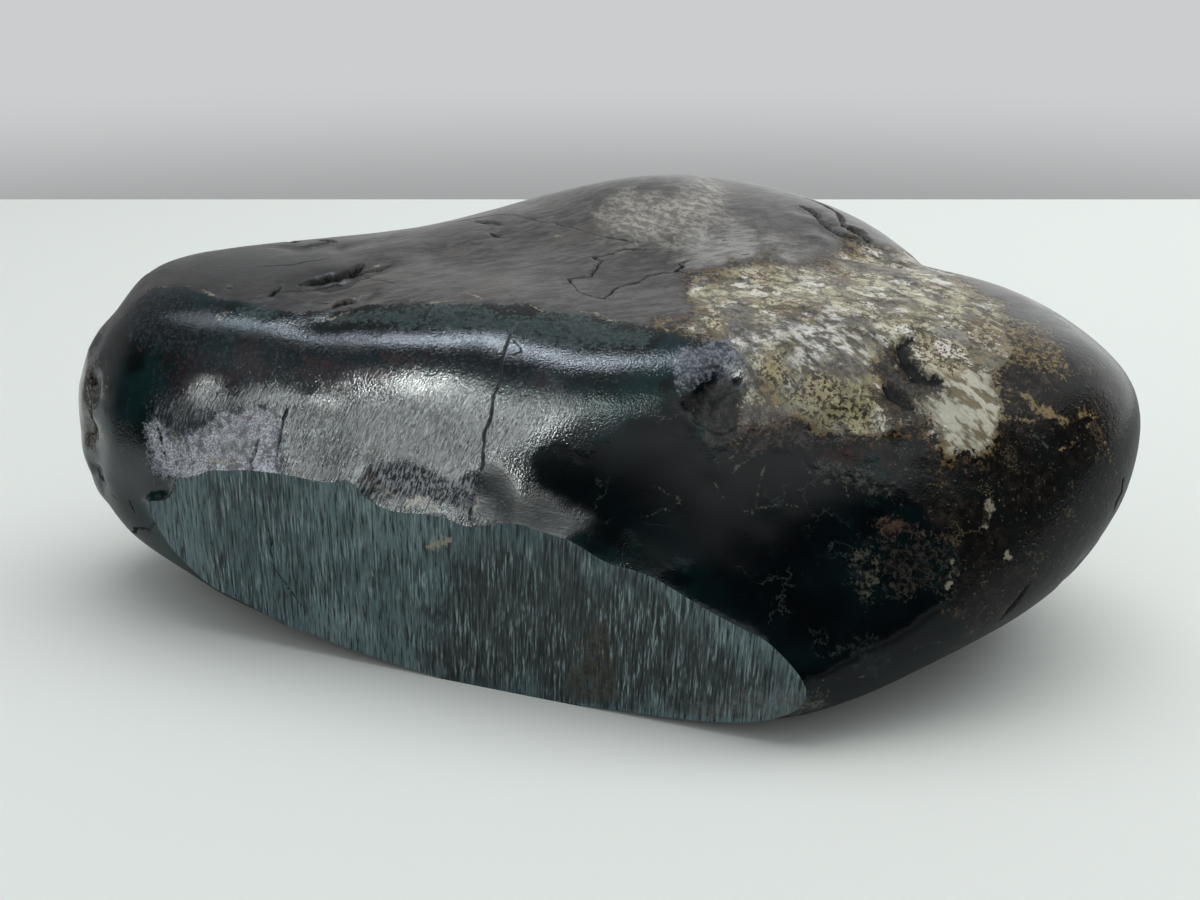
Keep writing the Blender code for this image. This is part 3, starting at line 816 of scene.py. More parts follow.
def line_field(lines):
    """How near the closest line is: 1 on it, 0 at twice its half width and beyond."""
    field = np.zeros(len(points))
    for half_width, line in lines:
        distance, along = from_line(points, line)
        field = np.maximum(field, 1 - distance / (2 * line_width(half_width, along)))
    return np.clip(field, 0, 1)


def crack_fields():
    """How near the closest crack is, as line_field gives it, and how far each point sinks into one."""
    field = np.zeros(len(points))
    sunk = np.zeros(len(points))
    for half_width, depth, line in cracks:
        distance, along = from_line(points, line)
        width = line_width(half_width, along)
        field = np.maximum(field, 1 - distance / (2 * width))
        slope = 1 - ramp(distance, 0.2 * width, 1.3 * width)
        sunk = np.maximum(sunk, depth * (width / half_width) * slope)
    return np.clip(field, 0, 1), sunk


swelling = np.clip(noise(points, 2.6, 77, 2), -1, 1)
fields = {name: outline_field(name) for name in OUTLINES}
fields["skin"] = skin_field()
for name, settings in CLOUDS.items():
    fields[name] = clouds(*settings)
for name, spots, seed in (("crust", FAR_CRUST, 40), ("rough", FAR_ROUGH, 50), ("rind", FAR_RIND, 60)):
    fields[name] = np.maximum(fields[name], patches(spots, seed))
pushed = [noise(points, 4.5, 200 + turn, 3) for turn in range(3)]
for turn, (name, uneven) in enumerate(UNEVEN.items()):
    fields[name] = fields[name] + uneven * pushed[turn % 3]
fields["crack"], crack_depth = crack_fields()


def chosen_values(table, chosen):
    """The row of a table that each point has chosen."""
    return np.array(table, np.float32)[chosen]


patch_fields = np.stack([fields.pop(name) for name in PATCHES]) + PATCH_UNEVEN * pushed[2]
nearest_patch = patch_fields.argmax(axis=0)
fields["patch"] = patch_fields.max(axis=0)
fields["patch_strength"] = chosen_values([strength for _, _, strength in PATCHES.values()], nearest_patch)
line_fields = np.stack([line_field(strokes[name]) for name in LINE_COLOURS])
nearest_line = line_fields.argmax(axis=0)
fields["line"] = line_fields.max(axis=0)
fields["line_strength"] = chosen_values([strength for _, strength in LINE_COLOURS.values()], nearest_line)

# Roughness, then the height in millimetres of each fine relief. Later rows lie over earlier ones.
RELIEF_KINDS = ("roughness", "fine_relief", "grain_relief", "polish_relief", "streak_relief")
SURFACES = {
    "green": (0.14, 0.034, 0.015, 0.02, 0),
    "belly": (0.1, 0.004, 0.0, 0.004, 0),
    "mottled": (0.14, 0.03, 0.02, 0.02, 0),
    "brushed": (0.25, 0.035, 0.035, 0.1, 0),
    "rough": (0.55, 0.05, 0.16, 0.04, 0),
    "skin": (0.34, 0.02, 0.06, 0, 0),
    "rind": (0.24, 0.02, 0.08, 0, 0),
    "crust": (0.4, 0.02, 0.08, 0, 0.3),
    "swept": (0.55, 0.02, 0.05, 0.05, 0),
}
PATCH_SURFACES = {
    "ridge_highlight_patch": (0.36, 0.04, 0.12, 0, 0),
    "shaded_gap": (0.6, 0.03, 0.1, 0, 0.1),
    "shaded_hollow": (0.8, 0.03, 0.08, 0, 0),
}
IN_CRACK = (0.85, 0.02, 0.02, 0, 0)
SURFACE_EDGE = 0.8                      # millimetres over which one surface passes into the next
SOFT_EDGES = {"mottled": 3.0, "brushed": 3.0, "swept": 3.0}


def surface_values():
    """Roughness and fine relief at each point, one column for each kind."""
    layers = []
    for name, row in list(SURFACES.items())[1:]:
        edge = SOFT_EDGES.get(name, SURFACE_EDGE)
        layers.append((ramp(fields[name], -edge, edge), row))
    for name, row in PATCH_SURFACES.items():
        field = patch_fields[list(PATCHES).index(name)]
        layers.append((ramp(field, -SURFACE_EDGE, SURFACE_EDGE), row))
    layers.append((ramp(fields["crack"], 0, 0.4), IN_CRACK))
    values = np.tile(np.array(SURFACES["green"], float), (len(points), 1))
    for amount, row in layers:
        values += amount[:, None] * (np.array(row) - values)
    return values


for name, column in zip(RELIEF_KINDS, surface_values().T):
    fields[name] = column


# ------------------------------------------------------------------ relief
# Directions in which the crust's lumps are measured, so that they come out long and slanting.
LUMP_AXES = np.array([[0.75, 0.1, 0.5], [-0.2, 0.9, 0.2], [0.6, 0.3, 1.0]])
CRUST_TOP = 0.3                         # millimetres of crust above its deepest hollows
ROUGH_DEPTH = 0.2
WORN_WAVES = ((0.09, 13, 1), (0.035, 4.5, 2))  # height, size and seed of the waves all over the stone


def crust_relief(crust):
    """The crust's lumps, drawn out on a slant."""
    slanting = points @ LUMP_AXES.T
    bumps = 0.3 * noise(slanting, 4.5, 61, 3) + 0.16 * np.abs(noise(slanting, 1.9, 66, 2))
    return (0.16 + np.clip(bumps, -CRUST_TOP, 0.5)) * crust


def relief():
    """Millimetres that each point sinks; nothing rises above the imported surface."""
    rough = ramp(fields["rough"], -1.0, 1.0)
    crust = ramp(fields["crust"], -0.5, 1.5)
    sunk = sum(height * (1 + noise(points, size, seed)) for height, size, seed in WORN_WAVES)
    sunk += rough * (ROUGH_DEPTH + 0.18 * noise(points, 2.2, 3, 2))
    sunk += np.clip(CRUST_TOP - crust_relief(crust), 0, 1) * crust
    return sunk + crack_depth


def sink(points):
    """The points moved by the relief; flats keep to their planes."""
    on_base = points[:, 2] < ON_FLAT
    on_sawn = points @ SAWN_OUT > (points @ SAWN_OUT).max() - ON_FLAT
    moved = points - normals * np.where(on_base | on_sawn, 0, relief())[:, None]
    moved -= SAWN_OUT * (crack_depth * on_sawn)[:, None]
    return np.clip(moved, np.array(CAD_BOX[0]) / MM, np.array(CAD_BOX[1]) / MM)


finished_points = sink(points)


# ------------------------------------------------------------------ the finished stone
def paint(red, green, blue):
    """A colour given as 0 to 255 on screen, as the shader's own."""
    channels = []
    for value in (red, green, blue):
        part = value / 255
        channels.append(part / 12.92 if part <= 0.04045 else ((part + 0.055) / 1.055) ** 2.4)
    return (*channels, 1.0)


def add_fields(mesh):
    """Give the mesh its fields, the colours of patches and lines, and which faces are sawn."""
    for name, field in fields.items():
        mesh.attributes.new(name, "FLOAT", "POINT").data.foreach_set("value", field.astype(np.float32))
    for name, column, table, chosen in (
        ("patch_dark", 0, PATCHES, nearest_patch),
        ("patch_light", 1, PATCHES, nearest_patch),
        ("line_colour", 0, LINE_COLOURS, nearest_line),
    ):
        shades = chosen_values([paint(*row[column]) for row in table.values()], chosen)
        mesh.attributes.new(name, "FLOAT_COLOR", "POINT").data.foreach_set("color", shades.ravel())
    sawn = (kind == SAWN).astype(np.float32)
    mesh.attributes.new("sawn", "FLOAT", "FACE").data.foreach_set("value", sawn)


def sharpen_rims(mesh):
    """Keep the shading crisp where the worn stone meets a flat."""
    edges, _, low, high = edge_table(faces, kind)
    rims = {tuple(pair) for pair in edges[low != high].tolist()}
    sharp = mesh.attributes.new("sharp_edge", "BOOLEAN", "EDGE")
    sharp.data.foreach_set("value", [tuple(sorted(edge.vertices)) in rims for edge in mesh.edges])


def make_stone():
    mesh = bpy.data.meshes.new("viewing_stone")
    mesh.from_pydata((finished_points * MM).tolist(), [], faces.tolist())
    mesh.shade_smooth()
    add_fields(mesh)
    sharpen_rims(mesh)
    stone = bpy.data.objects.new("viewing_stone", mesh)
    bpy.context.scene.collection.objects.link(stone)
    return stone


# ------------------------------------------------------------------ shader nodes
class Graph:
    """Makes shader nodes. An input may be a socket, a number or a colour."""

    def __init__(self, tree):
        self.tree = tree
        self.named = {}

    def __getitem__(self, name):
        """A shared noise by its name, or else the mesh's own field of that name."""
        if name not in self.named:
            self.named[name] = self.attribute(name)
        return self.named[name]

    def node(self, kind, inputs, **settings):
        made = self.tree.nodes.new(kind)
        for name, value in settings.items():
            setattr(made, name, value)
        for key, value in inputs.items():
            if isinstance(value, bpy.types.NodeSocket):
                self.tree.links.new(value, made.inputs[key])
            else:
                made.inputs[key].default_value = value
        return made

    def math(self, operation, first, second=0.0, clamp=False):
        made = self.node("ShaderNodeMath", {0: first, 1: second}, operation=operation, use_clamp=clamp)
        return made.outputs[0]

    def plus(self, first, second):
        return self.math("ADD", first, second)

    def times(self, first, second):
        return self.math("MULTIPLY", first, second)

    def both(self, first, second):
        return self.math("MULTIPLY", first, second, True)

    def less(self, first, second):
        return self.math("SUBTRACT", first, second)

    def largest(self, first, second):
        return self.math("MAXIMUM", first, second)

    def step(self, value, low, high, start=0.0, end=1.0):
        """Start below low, end above high, eased between them."""
        inputs = {0: value, 1: low, 2: high, 3: start, 4: end}
        return self.node("ShaderNodeMapRange", inputs, interpolation_type="SMOOTHSTEP").outputs[0]

    def mix(self, amount, first, second):
        inputs = {0: amount, 6: first, 7: second}
        return self.node("ShaderNodeMix", inputs, data_type="RGBA").outputs[2]

    def blend(self, amount, first, second):
        """Like mix, for numbers."""
        return self.node("ShaderNodeMix", {0: amount, 2: first, 3: second}).outputs[0]

    def choose(self, amount, first, second):
        """Like mix, for places."""
        inputs = {0: amount, 4: first, 5: second}
        return self.node("ShaderNodeMix", inputs, data_type="VECTOR").outputs[1]

    def vector(self, operation, first, second, output=0):
        """A sum on places; scaling takes a number in second."""
        slot = 3 if operation == "SCALE" else 1
        made = self.node("ShaderNodeVectorMath", {0: first, slot: second}, operation=operation)
        return made.outputs[output]

    def attribute(self, name, output="Fac"):
        return self.node("ShaderNodeAttribute", {}, attribute_name=name).outputs[output]

    def drawn_out(self, direction, stretch):
        """The stone's own coordinates, in which anything comes out longer along a direction."""
        axis = tuple(Vector(direction).normalized())
        along = self.vector("DOT_PRODUCT", self["where"], axis, 1)
        shift = self.vector("SCALE", axis, self.times(along, 1 - 1 / stretch))
        return self.vector("SUBTRACT", self["where"], shift)

    def noise(self, place, size, detail, roughness):
        """Noise from about 0.3 to 0.7 with features of the given size in millimetres."""
        inputs = {"Vector": place, "Scale": 1 / size, "Detail": detail, "Roughness": roughness}
        return self.node("ShaderNodeTexNoise", inputs).outputs[0]

    def sway(self, name, amount):
        """A noise that goes about zero instead of about a half, times an amount."""
        return self.times(self.less(self[name], 0.5), amount)

    def hairs(self, name, noise, bend, width):
        """1 along thin lines where a field passes through its middle, bent by a noise."""
        value = self.less(self.plus(self[name], self.sway(noise, bend)), 0.5)
        return self.step(self.math("ABSOLUTE", value), width, 0.2 * width)

    def region(self, name, soft, fray):
        """A region of the stone as 0 or 1, with a finely frayed outline."""
        return self.step(self.plus(self[name], self.sway("grain", fray * 5)), -soft, soft)

    def over(self, colour, name, amount, strength=1.0):
        """A plain paint laid over a colour."""
        return self.mix(self.times(amount, strength), colour, paint(*PAINTS[name]))

    def tinted(self, colour, tints):
        """A colour with tints laid over it one after the other."""
        for name, start, end, strength, tint in tints:
            colour = self.mix(self.step(self[name], start, end, 0, strength), colour, paint(*tint))
        return colour

    def kind(self, name):
        """The colour of one kind of stone."""
        base, *tints = KINDS[name]
        return self.tinted(paint(*base), tints)


# ------------------------------------------------------------------ the stone's colours
# Tints are a noise or field, where the tint starts, where it is full, its strength and its colour.
# Each kind of stone is a first colour and the tints that lie over it.
KINDS = {
    "green": [(3, 9, 12),
        ("broad", 0.4, 0.62, 1, (11, 38, 40)),
        ("medium", 0.56, 0.78, 0.4, (38, 62, 60)),
        ("coarse", 0.48, 0.62, 0.85, (2, 5, 7)),
        ("belly", -6, 3, 0.8, (2, 6, 9))],
    "mottled": [(20, 34, 38),
        ("coarse", 0.42, 0.6, 1, (44, 38, 44)),
        ("grain", 0.5, 0.68, 0.5, (70, 76, 82))],
    "brushed": [(28, 44, 46),
        ("coarse", 0.4, 0.62, 1, (48, 52, 59)),
        ("medium", 0.5, 0.68, 0.6, (26, 34, 37)),
        ("grain", 0.5, 0.68, 0.35, (90, 94, 97)),
        ("stroke", 0.53, 0.64, 0.85, (118, 124, 127)),
        ("stroke", 0.48, 0.36, 0.95, (6, 11, 13))],
    "rough": [(104, 107, 116),
        ("fine", 0.34, 0.66, 1, (184, 187, 198)),
        ("medium", 0.5, 0.66, 0.8, (72, 70, 75))],
    "skin": [(56, 54, 53),
        ("streak", 0.36, 0.66, 1, (88, 86, 85)),
        ("broad", 0.5, 0.66, 0.6, (34, 33, 33)),
        ("skin_cloud", 0.56, 0.74, 0.45, (84, 77, 68)),
        # painted shade: the top-left skin darker where it catches less sheen
        ("skin_painted_shade", -6, 6, 0.78, (34, 34, 36))],
    "rind": [(9, 8, 8),
        ("medium", 0.42, 0.66, 1, (48, 42, 37)),
        ("broad", 0.46, 0.6, 0.6, (15, 13, 12)),
        ("coarse", 0.54, 0.66, 0.75, (11, 18, 18)),
        ("grain", 0.6, 0.72, 0.7, (92, 82, 66))],
    "olive": [(158, 149, 108), ("grain", 0.45, 0.58, 1, (36, 27, 14))],
    # painted glints: near-white streaks over grey crust
    "crust_glints": [(80, 78, 72), ("streak", 0.42, 0.64, 1, (226, 225, 220))],
    "white": [(186, 184, 168), ("streak", 0.54, 0.4, 1, (118, 108, 84))],
    "crust_rim": [(16, 14, 12), ("grain", 0.44, 0.62, 1, (84, 68, 40))],
    "swept": [(8, 12, 15), ("stroke", 0.5, 0.7, 1, (86, 90, 92))],
    "sawn": [(62, 84, 89),
        ("broad", 0.4, 0.62, 1, (86, 108, 112)),
        ("sawn_dark", -3, 4, 0.9, (40, 51, 52)),
        ("stroke", 0.48, 0.38, 0.9, (8, 14, 16)),
        ("streak", 0.48, 0.36, 0.25, (20, 30, 33))],
}
DARKEST_FLAKE, PALEST_FLAKE = (138, 130, 96), (192, 188, 160)
FLAKE_TINTS = [
    ("hue", 0.3, 0.16, 1, (104, 99, 84)),
    ("hue", 0.68, 0.84, 1, (206, 204, 194)),
    ("streak", 0.48, 0.38, 0.7, (84, 75, 52)),
    ("streak", 0.54, 0.66, 0.4, (214, 211, 196)),
    ("crust_cloud", 0.54, 0.64, 0.7, (80, 76, 68)),
]
# Paints of single features.
PAINTS = {
    "pale_hair": (84, 98, 92),
    "pale_lip": (152, 156, 160),
    "hump": (174, 171, 160),
    "film": (162, 161, 157),
    "skin_pit": (16, 13, 12),
    "rind_vein": (112, 100, 74),
    "gold": (92, 70, 34),
    "seam": (32, 25, 15),
    "white_seam": (60, 48, 28),
    "inner_rim": (96, 76, 40),
    "pale_scratch": (122, 140, 142),
    # crack: near-black painted shade inside the cracks
    "crack": (4, 4, 4),
}


# ------------------------------------------------------------------ the stone's finish
STONE_IOR = 1.5
SAWN_ROUGHNESS = 0.42
SCRATCH_HEIGHT = 0.24                   # millimetres, on the sawn face
UNEVEN_GLOSS = 0.25                     # how far the roughness strays, as a share of itself
FLAKE_SIZE = 2.5                        # millimetres across the streaks
FLAKE_STRETCH = 3.2
FLAKE_BEND = (("medium", 5), ("grain", 2.4), ("medium", -4))


def shared_noises(graph):
    """The noises that the layers share, by name, so that each is worked out only once."""
    named = graph.named
    metres = graph.node("ShaderNodeTexCoord", {}).outputs["Object"]
    named["where"] = graph.vector("SCALE", metres, 1 / MM)
    named["fine"] = graph.noise(graph["where"], 0.36, 1, 0.65)
    named["grain"] = graph.noise(graph["where"], 0.85, 2, 0.78)
    named["medium"] = graph.noise(graph["where"], 2.2, 2, 0.74)
    saw_place = graph.drawn_out(SAW_STROKES, 14)
    slanting = graph.step(graph.largest(graph["crust"], graph["hump"]), -1.3, -1.2)
    wide = graph.choose(slanting, graph.drawn_out(SKIN_STREAKS, 4), graph.drawn_out(CRUST_STREAKS, 2.8))
    named["streak"] = graph.noise(graph.choose(graph["sawn"], wide, saw_place), 1.3, 2, 0.72)
    level = graph.step(graph["swept"], -0.1, 0.1)
    narrow = graph.choose(level, graph.drawn_out(POLISH_STROKES, 8), graph.drawn_out(SWEPT_STROKES, 9))
    named["stroke"] = graph.noise(graph.choose(graph["sawn"], narrow, saw_place), 0.38, 2, 0.8)


def green_stone(graph):
    """Dark green polished nephrite, clouded and mottled, with a few pale hairs."""
    hairs = graph.both(graph.hairs("hair", "grain", 0.14, 0.008), graph.step(graph["patchy"], 0.5, 0.62))
    return graph.over(graph.kind("green"), "pale_hair", hairs, 0.25)


def dull_bands(graph, colour):
    """The blue-grey and purple-brown mottling between the two highlights."""
    return graph.mix(graph.times(graph.region("mottled", 2.0, 1.0), 0.75), colour, graph.kind("mottled"))


def brushed_band(graph, colour):
    """The duller grey band above the sawn face, brushed on a slant."""
    lip = graph.both(graph.step(graph["lip"], -1.5, 1.5), graph.step(graph["stroke"], 0.44, 0.6))
    dull = graph.over(graph.kind("brushed"), "pale_lip", lip, 0.8)
    return graph.mix(graph.region("brushed", 2.0, 1.6), colour, dull)


def rough_patch(graph, colour):
    """Dull lavender stone that was never polished."""
    return graph.mix(graph.region("rough", 1.2, 1.2), colour, graph.kind("rough"))


def brown_skin(graph, colour):
    """The worn brown skin over the top and the back."""
    streak = graph["streak"]
    beige = graph.both(graph.region("hump", 5.0, 0.8), graph.step(streak, 0.4, 0.62, 0.35, 1))
    skin = graph.over(graph.kind("skin"), "hump", beige, 0.8)
    film = graph.both(graph.region("film", 4.0, 1.0), graph.step(streak, 0.36, 0.6, 0.5, 1))
    skin = graph.over(skin, "film", film, 0.85)
    lines = graph.hairs("skin_cloud", "streak", 0.3, 0.009)
    lines = graph.both(lines, graph.step(graph["medium"], 0.44, 0.56))
    pits = graph.both(graph.step(streak, 0.66, 0.7), graph.step(graph["patchy"], 0.5, 0.6))
    skin = graph.over(skin, "skin_pit", graph.largest(lines, pits), 0.7)
    return graph.mix(graph.region("skin", 0.2, 0.7), colour, skin)


def rind(graph, colour):
    """The brown-black rind of the right end, flecked with green and ochre."""
    vein = graph.both(graph.hairs("hair", "grain", 0.2, 0.014), graph.step(graph["patchy"], 0.5, 0.6))
    dark = graph.over(graph.kind("rind"), "rind_vein", vein, 0.4)
    return graph.mix(graph.region("rind", 1.0, 1.6), colour, dark)


def crust_flakes(graph):
    """Two random numbers for each flake of the crust, tone and hue, and how near its edge is."""
    bend = {axis: graph.sway(name, amount) for axis, (name, amount) in enumerate(FLAKE_BEND)}
    shift = graph.node("ShaderNodeCombineXYZ", bend).outputs[0]
    place = graph.vector("ADD", graph.drawn_out(CRUST_STREAKS, FLAKE_STRETCH), shift)
    inputs = {"Vector": place, "Scale": 1 / FLAKE_SIZE}
    flakes = graph.node("ShaderNodeTexVoronoi", inputs).outputs
    numbers = graph.node("ShaderNodeSeparateColor", {0: flakes["Color"]}).outputs
    graph.named["tone"] = numbers[0]
    graph.named["hue"] = numbers[1]
    graph.named["flake_edge"] = graph.step(flakes["Distance"], 0.5, 0.72)


def flaky_stone(graph):
    """Cream and white flakes with dark seams, in places golden, olive, pure white, and grey with painted
    glints.
    """
    crust_flakes(graph)
    pale = graph.mix(graph["tone"], paint(*DARKEST_FLAKE), paint(*PALEST_FLAKE))
    pale = graph.tinted(pale, FLAKE_TINTS)
    golden = graph.both(graph.step(graph["grain"], 0.48, 0.58), graph.step(graph["coarse"], 0.49, 0.57))
    pale = graph.over(pale, "gold", golden)
    seams = graph.largest(graph["flake_edge"], graph.hairs("crust_cloud", "streak", 0.45, 0.026))
    seams = graph.both(seams, graph.step(graph["medium"], 0.38, 0.54, 0.2, 1))
    pale = graph.over(pale, "seam", seams, 0.78)
    for name, amount in (("olive", 0.75), ("crust_glints", 0.6)):
        pale = graph.mix(graph.times(graph.region(name, 1.2, 1.6), amount), pale, graph.kind(name))
    pure = graph.over(graph.kind("white"), "white_seam", seams, 0.3)
    return graph.mix(graph.region("white", 0.3, 1.0), pale, pure)


def crust(graph, colour):
    """The flaky crust, with gold-brown just outside and inside its outline."""
    outside = graph.step(graph["crust"], -2.4, -0.4, 0, 0.85)
    inside = graph.both(graph.step(graph["crust"], 1.8, 0.4), graph.step(graph["grain"], 0.4, 0.54))
    pale = graph.over(flaky_stone(graph), "inner_rim", inside, 0.7)
    colour = graph.mix(outside, colour, graph.kind("crust_rim"))
    return graph.mix(graph.region("crust", 0.2, 1.6), colour, pale)


def swept_edge(graph, colour):
    """Level strokes where the grinder ran off the sawn face."""
    shape = graph.both(graph.region("swept", 1.6, 1.6), graph.step(graph["stroke"], 0.48, 0.6))
    return graph.mix(graph.times(shape, 0.6), colour, graph.kind("swept"))


def sawn_face(graph, colour):
    """Grey-green sawn face with steep scratches."""
    often = graph.step(graph["patchy"], 0.42, 0.62, 0.4, 1)
    scratches = graph.both(graph.step(graph["stroke"], 0.53, 0.63), often)
    return graph.mix(graph["sawn"], colour, graph.over(graph.kind("sawn"), "pale_scratch", scratches))


def small_patches(graph, colour):
    """Grained patches round the crust's foot, on the belly, the sawn face and at the left end."""
    dark, light = [graph.attribute(name, "Color") for name in ("patch_dark", "patch_light")]
    patch = graph.mix(graph.step(graph["grain"], 0.4, 0.64), dark, light)
    strength = graph["patch_strength"]
    cover = graph.step(graph.plus(graph["medium"], graph.times(strength, 0.4)), 0.62, 0.8, 0.2, 1)
    shape = graph.both(graph.region("patch", 0.9, 1.3), cover)
    return graph.mix(graph.times(shape, strength), colour, patch)


def drawn_lines(graph, colour):
    """Threads, flecks, streaks and cracks along their own lines."""
    near = graph.step(graph.plus(graph["line"], graph.sway("grain", 2.4)), 0.4, 0.75)
    shape = graph.both(near, graph.step(graph["medium"], 0.42, 0.56, 0.1, 1))
    amount = graph.times(shape, graph["line_strength"])
    colour = graph.mix(amount, colour, graph.attribute("line_colour", "Color"))
    # the cracks are painted near-black: painted shade inside them
    crack_shade = graph.step(graph.plus(graph["crack"], graph.sway("grain", 1.2)), 0.54, 0.76)
    return graph.over(colour, "crack", crack_shade)


def fine_relief(graph):
    """Height in millimetres of what is too fine for the mesh."""
    height = 0.0
    for kind, name in zip(RELIEF_KINDS[1:], ("fine", "grain", "stroke", "streak")):
        height = graph.plus(graph.times(graph[kind], graph[name]), height)
    return graph.blend(graph["sawn"], height, graph.times(graph["stroke"], SCRATCH_HEIGHT))


LAYERS = (dull_bands, brushed_band, rough_patch, brown_skin, rind, crust, swept_edge, sawn_face,
          small_patches, drawn_lines)


def stone_material():
    material = bpy.data.materials.new("viewing_stone")
    material.use_nodes = True
    tree = material.node_tree
    graph = Graph(tree)
    shared_noises(graph)
    colour = green_stone(graph)
    for layer in LAYERS:
        colour = layer(graph, colour)
    uneven = graph.times(graph.sway("medium", UNEVEN_GLOSS), graph["roughness"])
    roughness = graph.plus(graph["roughness"], uneven)
    shader = tree.nodes["Principled BSDF"]
    shader.inputs["IOR"].default_value = STONE_IOR
    tree.links.new(colour, shader.inputs["Base Color"])
    tree.links.new(graph.blend(graph["sawn"], roughness, SAWN_ROUGHNESS), shader.inputs["Roughness"])
    bump = graph.node("ShaderNodeBump", {"Height": fine_relief(graph), "Distance": MM, "Strength": 1.0})
    tree.links.new(bump.outputs[0], shader.inputs["Normal"])
    return material


# ------------------------------------------------------------------ studio
FLOOR_COLOUR = paint(226, 231, 227)
# Seen only in gloss, the floor is painted shade: grey round the stone, dark in front, pale light to the
# left.
REFLECTED_FLOOR_DARK_SHADE = paint(30, 33, 33)
REFLECTED_FLOOR_SHADE = paint(142, 148, 146)
REFLECTED_FLOOR_LIGHT = paint(236, 242, 240)
FLOOR_ROUGHNESS = 0.7
# Metres on the floor from where one shade begins to where the next is full.
DARK_TOWARD_CAMERA = (-0.1, -0.24)
DARK_TOWARD_MIDDLE = (0.26, 0.13)
PALE_TOWARD_LEFT = (-0.11, -0.2)


def floor_material():
    material = bpy.data.materials.new("floor")
    material.use_nodes = True
    graph = Graph(material.node_tree)
    shader = material.node_tree.nodes["Principled BSDF"]
    rays = graph.node("ShaderNodeLightPath", {}).outputs
    where = graph.node("ShaderNodeTexCoord", {}).outputs["Object"]
    axes = graph.node("ShaderNodeSeparateXYZ", {0: where}).outputs
    in_front = graph.step(axes[1], *DARK_TOWARD_CAMERA)
    in_middle = graph.step(graph.math("ABSOLUTE", axes[0]), *DARK_TOWARD_MIDDLE)
    in_front = graph.both(in_front, in_middle)
    # painted reflection: the dark shade in front stands in for the dark room on the camera's side
    painted_reflection = graph.mix(in_front, REFLECTED_FLOOR_SHADE, REFLECTED_FLOOR_DARK_SHADE)
    painted_reflection = graph.mix(graph.step(axes[0], *PALE_TOWARD_LEFT), painted_reflection, REFLECTED_FLOOR_LIGHT)
    colour = graph.mix(rays["Is Glossy Ray"], FLOOR_COLOUR, painted_reflection)
    material.node_tree.links.new(colour, shader.inputs["Base Color"])
    shader.inputs["Roughness"].default_value = FLOOR_ROUGHNESS
    return material


FLOOR_NEAR = -1.4
FLOOR_FAR = 0.438                       # the table's far edge in the photo
FLOOR_HALF_WIDTH = 1.5


def make_floor():
    corners = [(-FLOOR_HALF_WIDTH, FLOOR_NEAR, 0), (FLOOR_HALF_WIDTH, FLOOR_NEAR, 0),
               (FLOOR_HALF_WIDTH, FLOOR_FAR, 0), (-FLOOR_HALF_WIDTH, FLOOR_FAR, 0)]
    mesh = bpy.data.meshes.new("floor")
    mesh.from_pydata(corners, [], [(0, 1, 2, 3)])
    floor = bpy.data.objects.new("floor", mesh)
    mesh.materials.append(floor_material())
    bpy.context.scene.collection.objects.link(floor)


def area_light(name, place, size, turn, radiance, colour):
    """A level rectangular light that looks straight down."""
    data = bpy.data.lights.new(name, "AREA")
    data.shape = "RECTANGLE"
    data.size, data.size_y = size
    data.energy = radiance * math.pi * size[0] * size[1]
    data.color = colour
    light = bpy.data.objects.new(name, data)
    light.location = place
    light.rotation_euler = (0, 0, math.radians(turn))
    light.visible_camera = False
    bpy.context.scene.collection.objects.link(light)
    return light


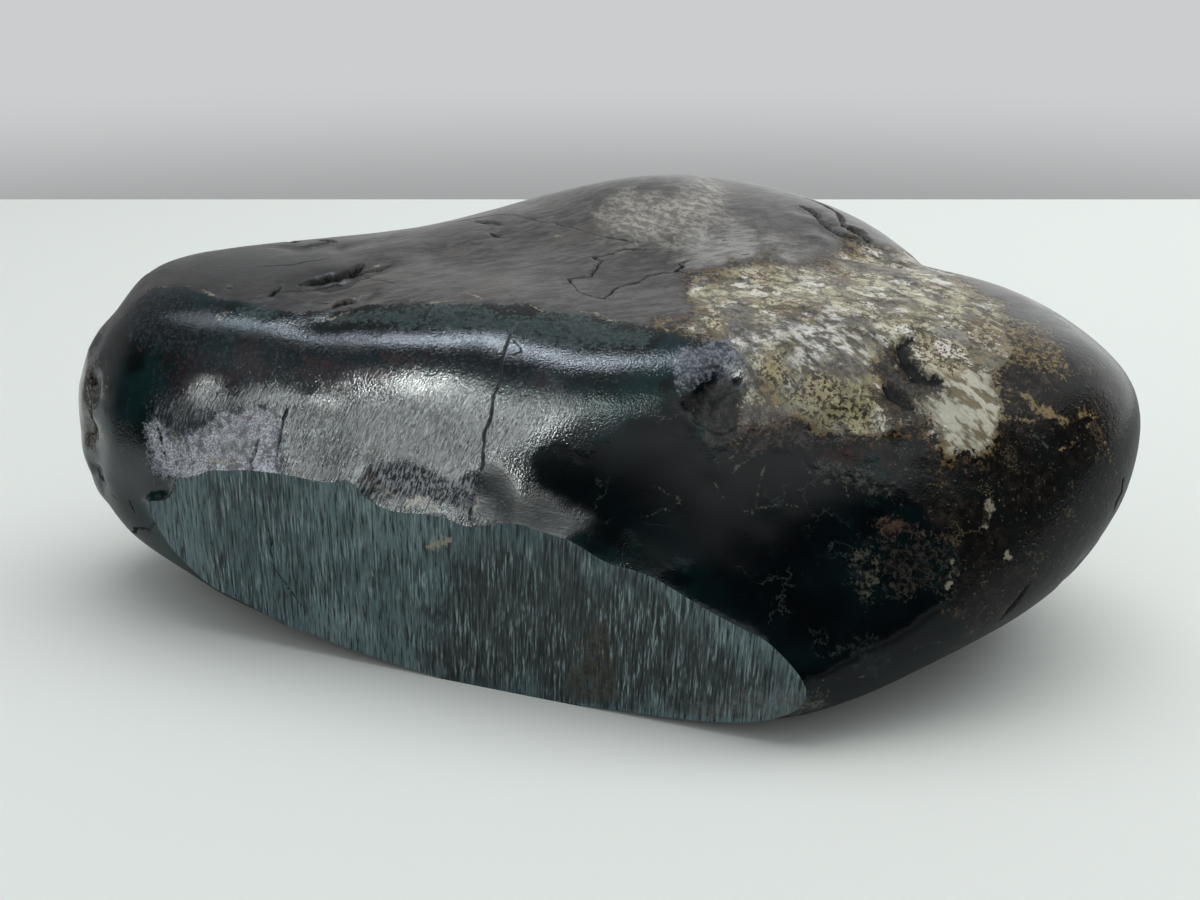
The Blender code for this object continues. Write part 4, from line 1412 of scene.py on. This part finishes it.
# Strips seen only as gloss: the middle's two floor coordinates, length and width, turn, radiance, colour.
STRIP_HEIGHT = 1.2
WINDOW_COLOUR = (0.78, 0.89, 1.0)
ROOM_COLOUR = (0.94, 1.0, 0.98)
LEAF_COLOUR = (0.8, 1.0, 0.97)
STRIPS = {
    "window_strip": ((-0.38, 0.09), (0.58, 0.09), 0, 26, WINDOW_COLOUR),
    "window_end": ((-0.85, 0.12), (0.36, 0.1), 0, 6, WINDOW_COLOUR),
    "room_right": ((-0.43, -0.70), (0.4, 0.1), -6, 15, LEAF_COLOUR),
    "room_middle": ((-0.80, -0.83), (0.42, 0.09), 38, 125, ROOM_COLOUR),
    "room_left": ((-1.58, -1.5), (0.62, 0.2), 20, 85, ROOM_COLOUR),
}


# The light that shades the stone but isn't seen as gloss.
CEILING_PLACE = (0.5, 0.26, 1.3)
CEILING_SIZE = (2.0, 1.1)
CEILING_RADIANCE = 2.3


def make_lights():
    for name, ((across, away), *settings) in STRIPS.items():
        area_light(name, (across, away, STRIP_HEIGHT), *settings).visible_diffuse = False
    ceiling = area_light("ceiling", CEILING_PLACE, CEILING_SIZE, 0, CEILING_RADIANCE, (1.0, 1.0, 1.0))
    ceiling.visible_glossy = False


WORLD_COLOUR = (0.97, 0.99, 1.0, 1.0)
AMBIENT_STRENGTH = 0.46                 # of the light that the surroundings throw on the stone
DARK_ROOM_STRENGTH = 0.02


def make_world():
    """Pale all round; reflections see a dark room on the camera's side and a bright ceiling."""
    world = bpy.data.worlds.new("studio")
    world.use_nodes = True
    tree = world.node_tree
    graph = Graph(tree)
    direction = graph.node("ShaderNodeTexCoord", {}).outputs["Generated"]
    axes = graph.node("ShaderNodeSeparateXYZ", {0: direction}).outputs
    wall = graph.step(axes[2], -0.19, -0.08, 0.36, 0.62)
    near_side = graph.step(axes[1], 0.12, -0.12)
    low = graph.step(axes[2], 0.72, 0.55)
    overhead = graph.step(axes[2], 0.35, 1.0, 1.3, 0.4)
    overhead = graph.times(overhead, graph.step(axes[0], -0.6, 0.3, 0.24, 1.0))
    reflected = graph.blend(graph.both(near_side, low), overhead, DARK_ROOM_STRENGTH)
    rays = graph.node("ShaderNodeLightPath", {}).outputs
    lit = graph.blend(rays["Is Glossy Ray"], AMBIENT_STRENGTH, reflected)
    strength = graph.blend(rays["Is Camera Ray"], lit, wall)
    background = tree.nodes["Background"]
    background.inputs["Color"].default_value = WORLD_COLOUR
    tree.links.new(strength, background.inputs["Strength"])
    bpy.context.scene.world = world


bpy.context.scene.view_settings.view_transform = "Standard"
make_camera()
make_floor()
make_lights()
make_world()
stone = make_stone()
stone.data.materials.append(stone_material())
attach(stone, "root")
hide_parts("stone")
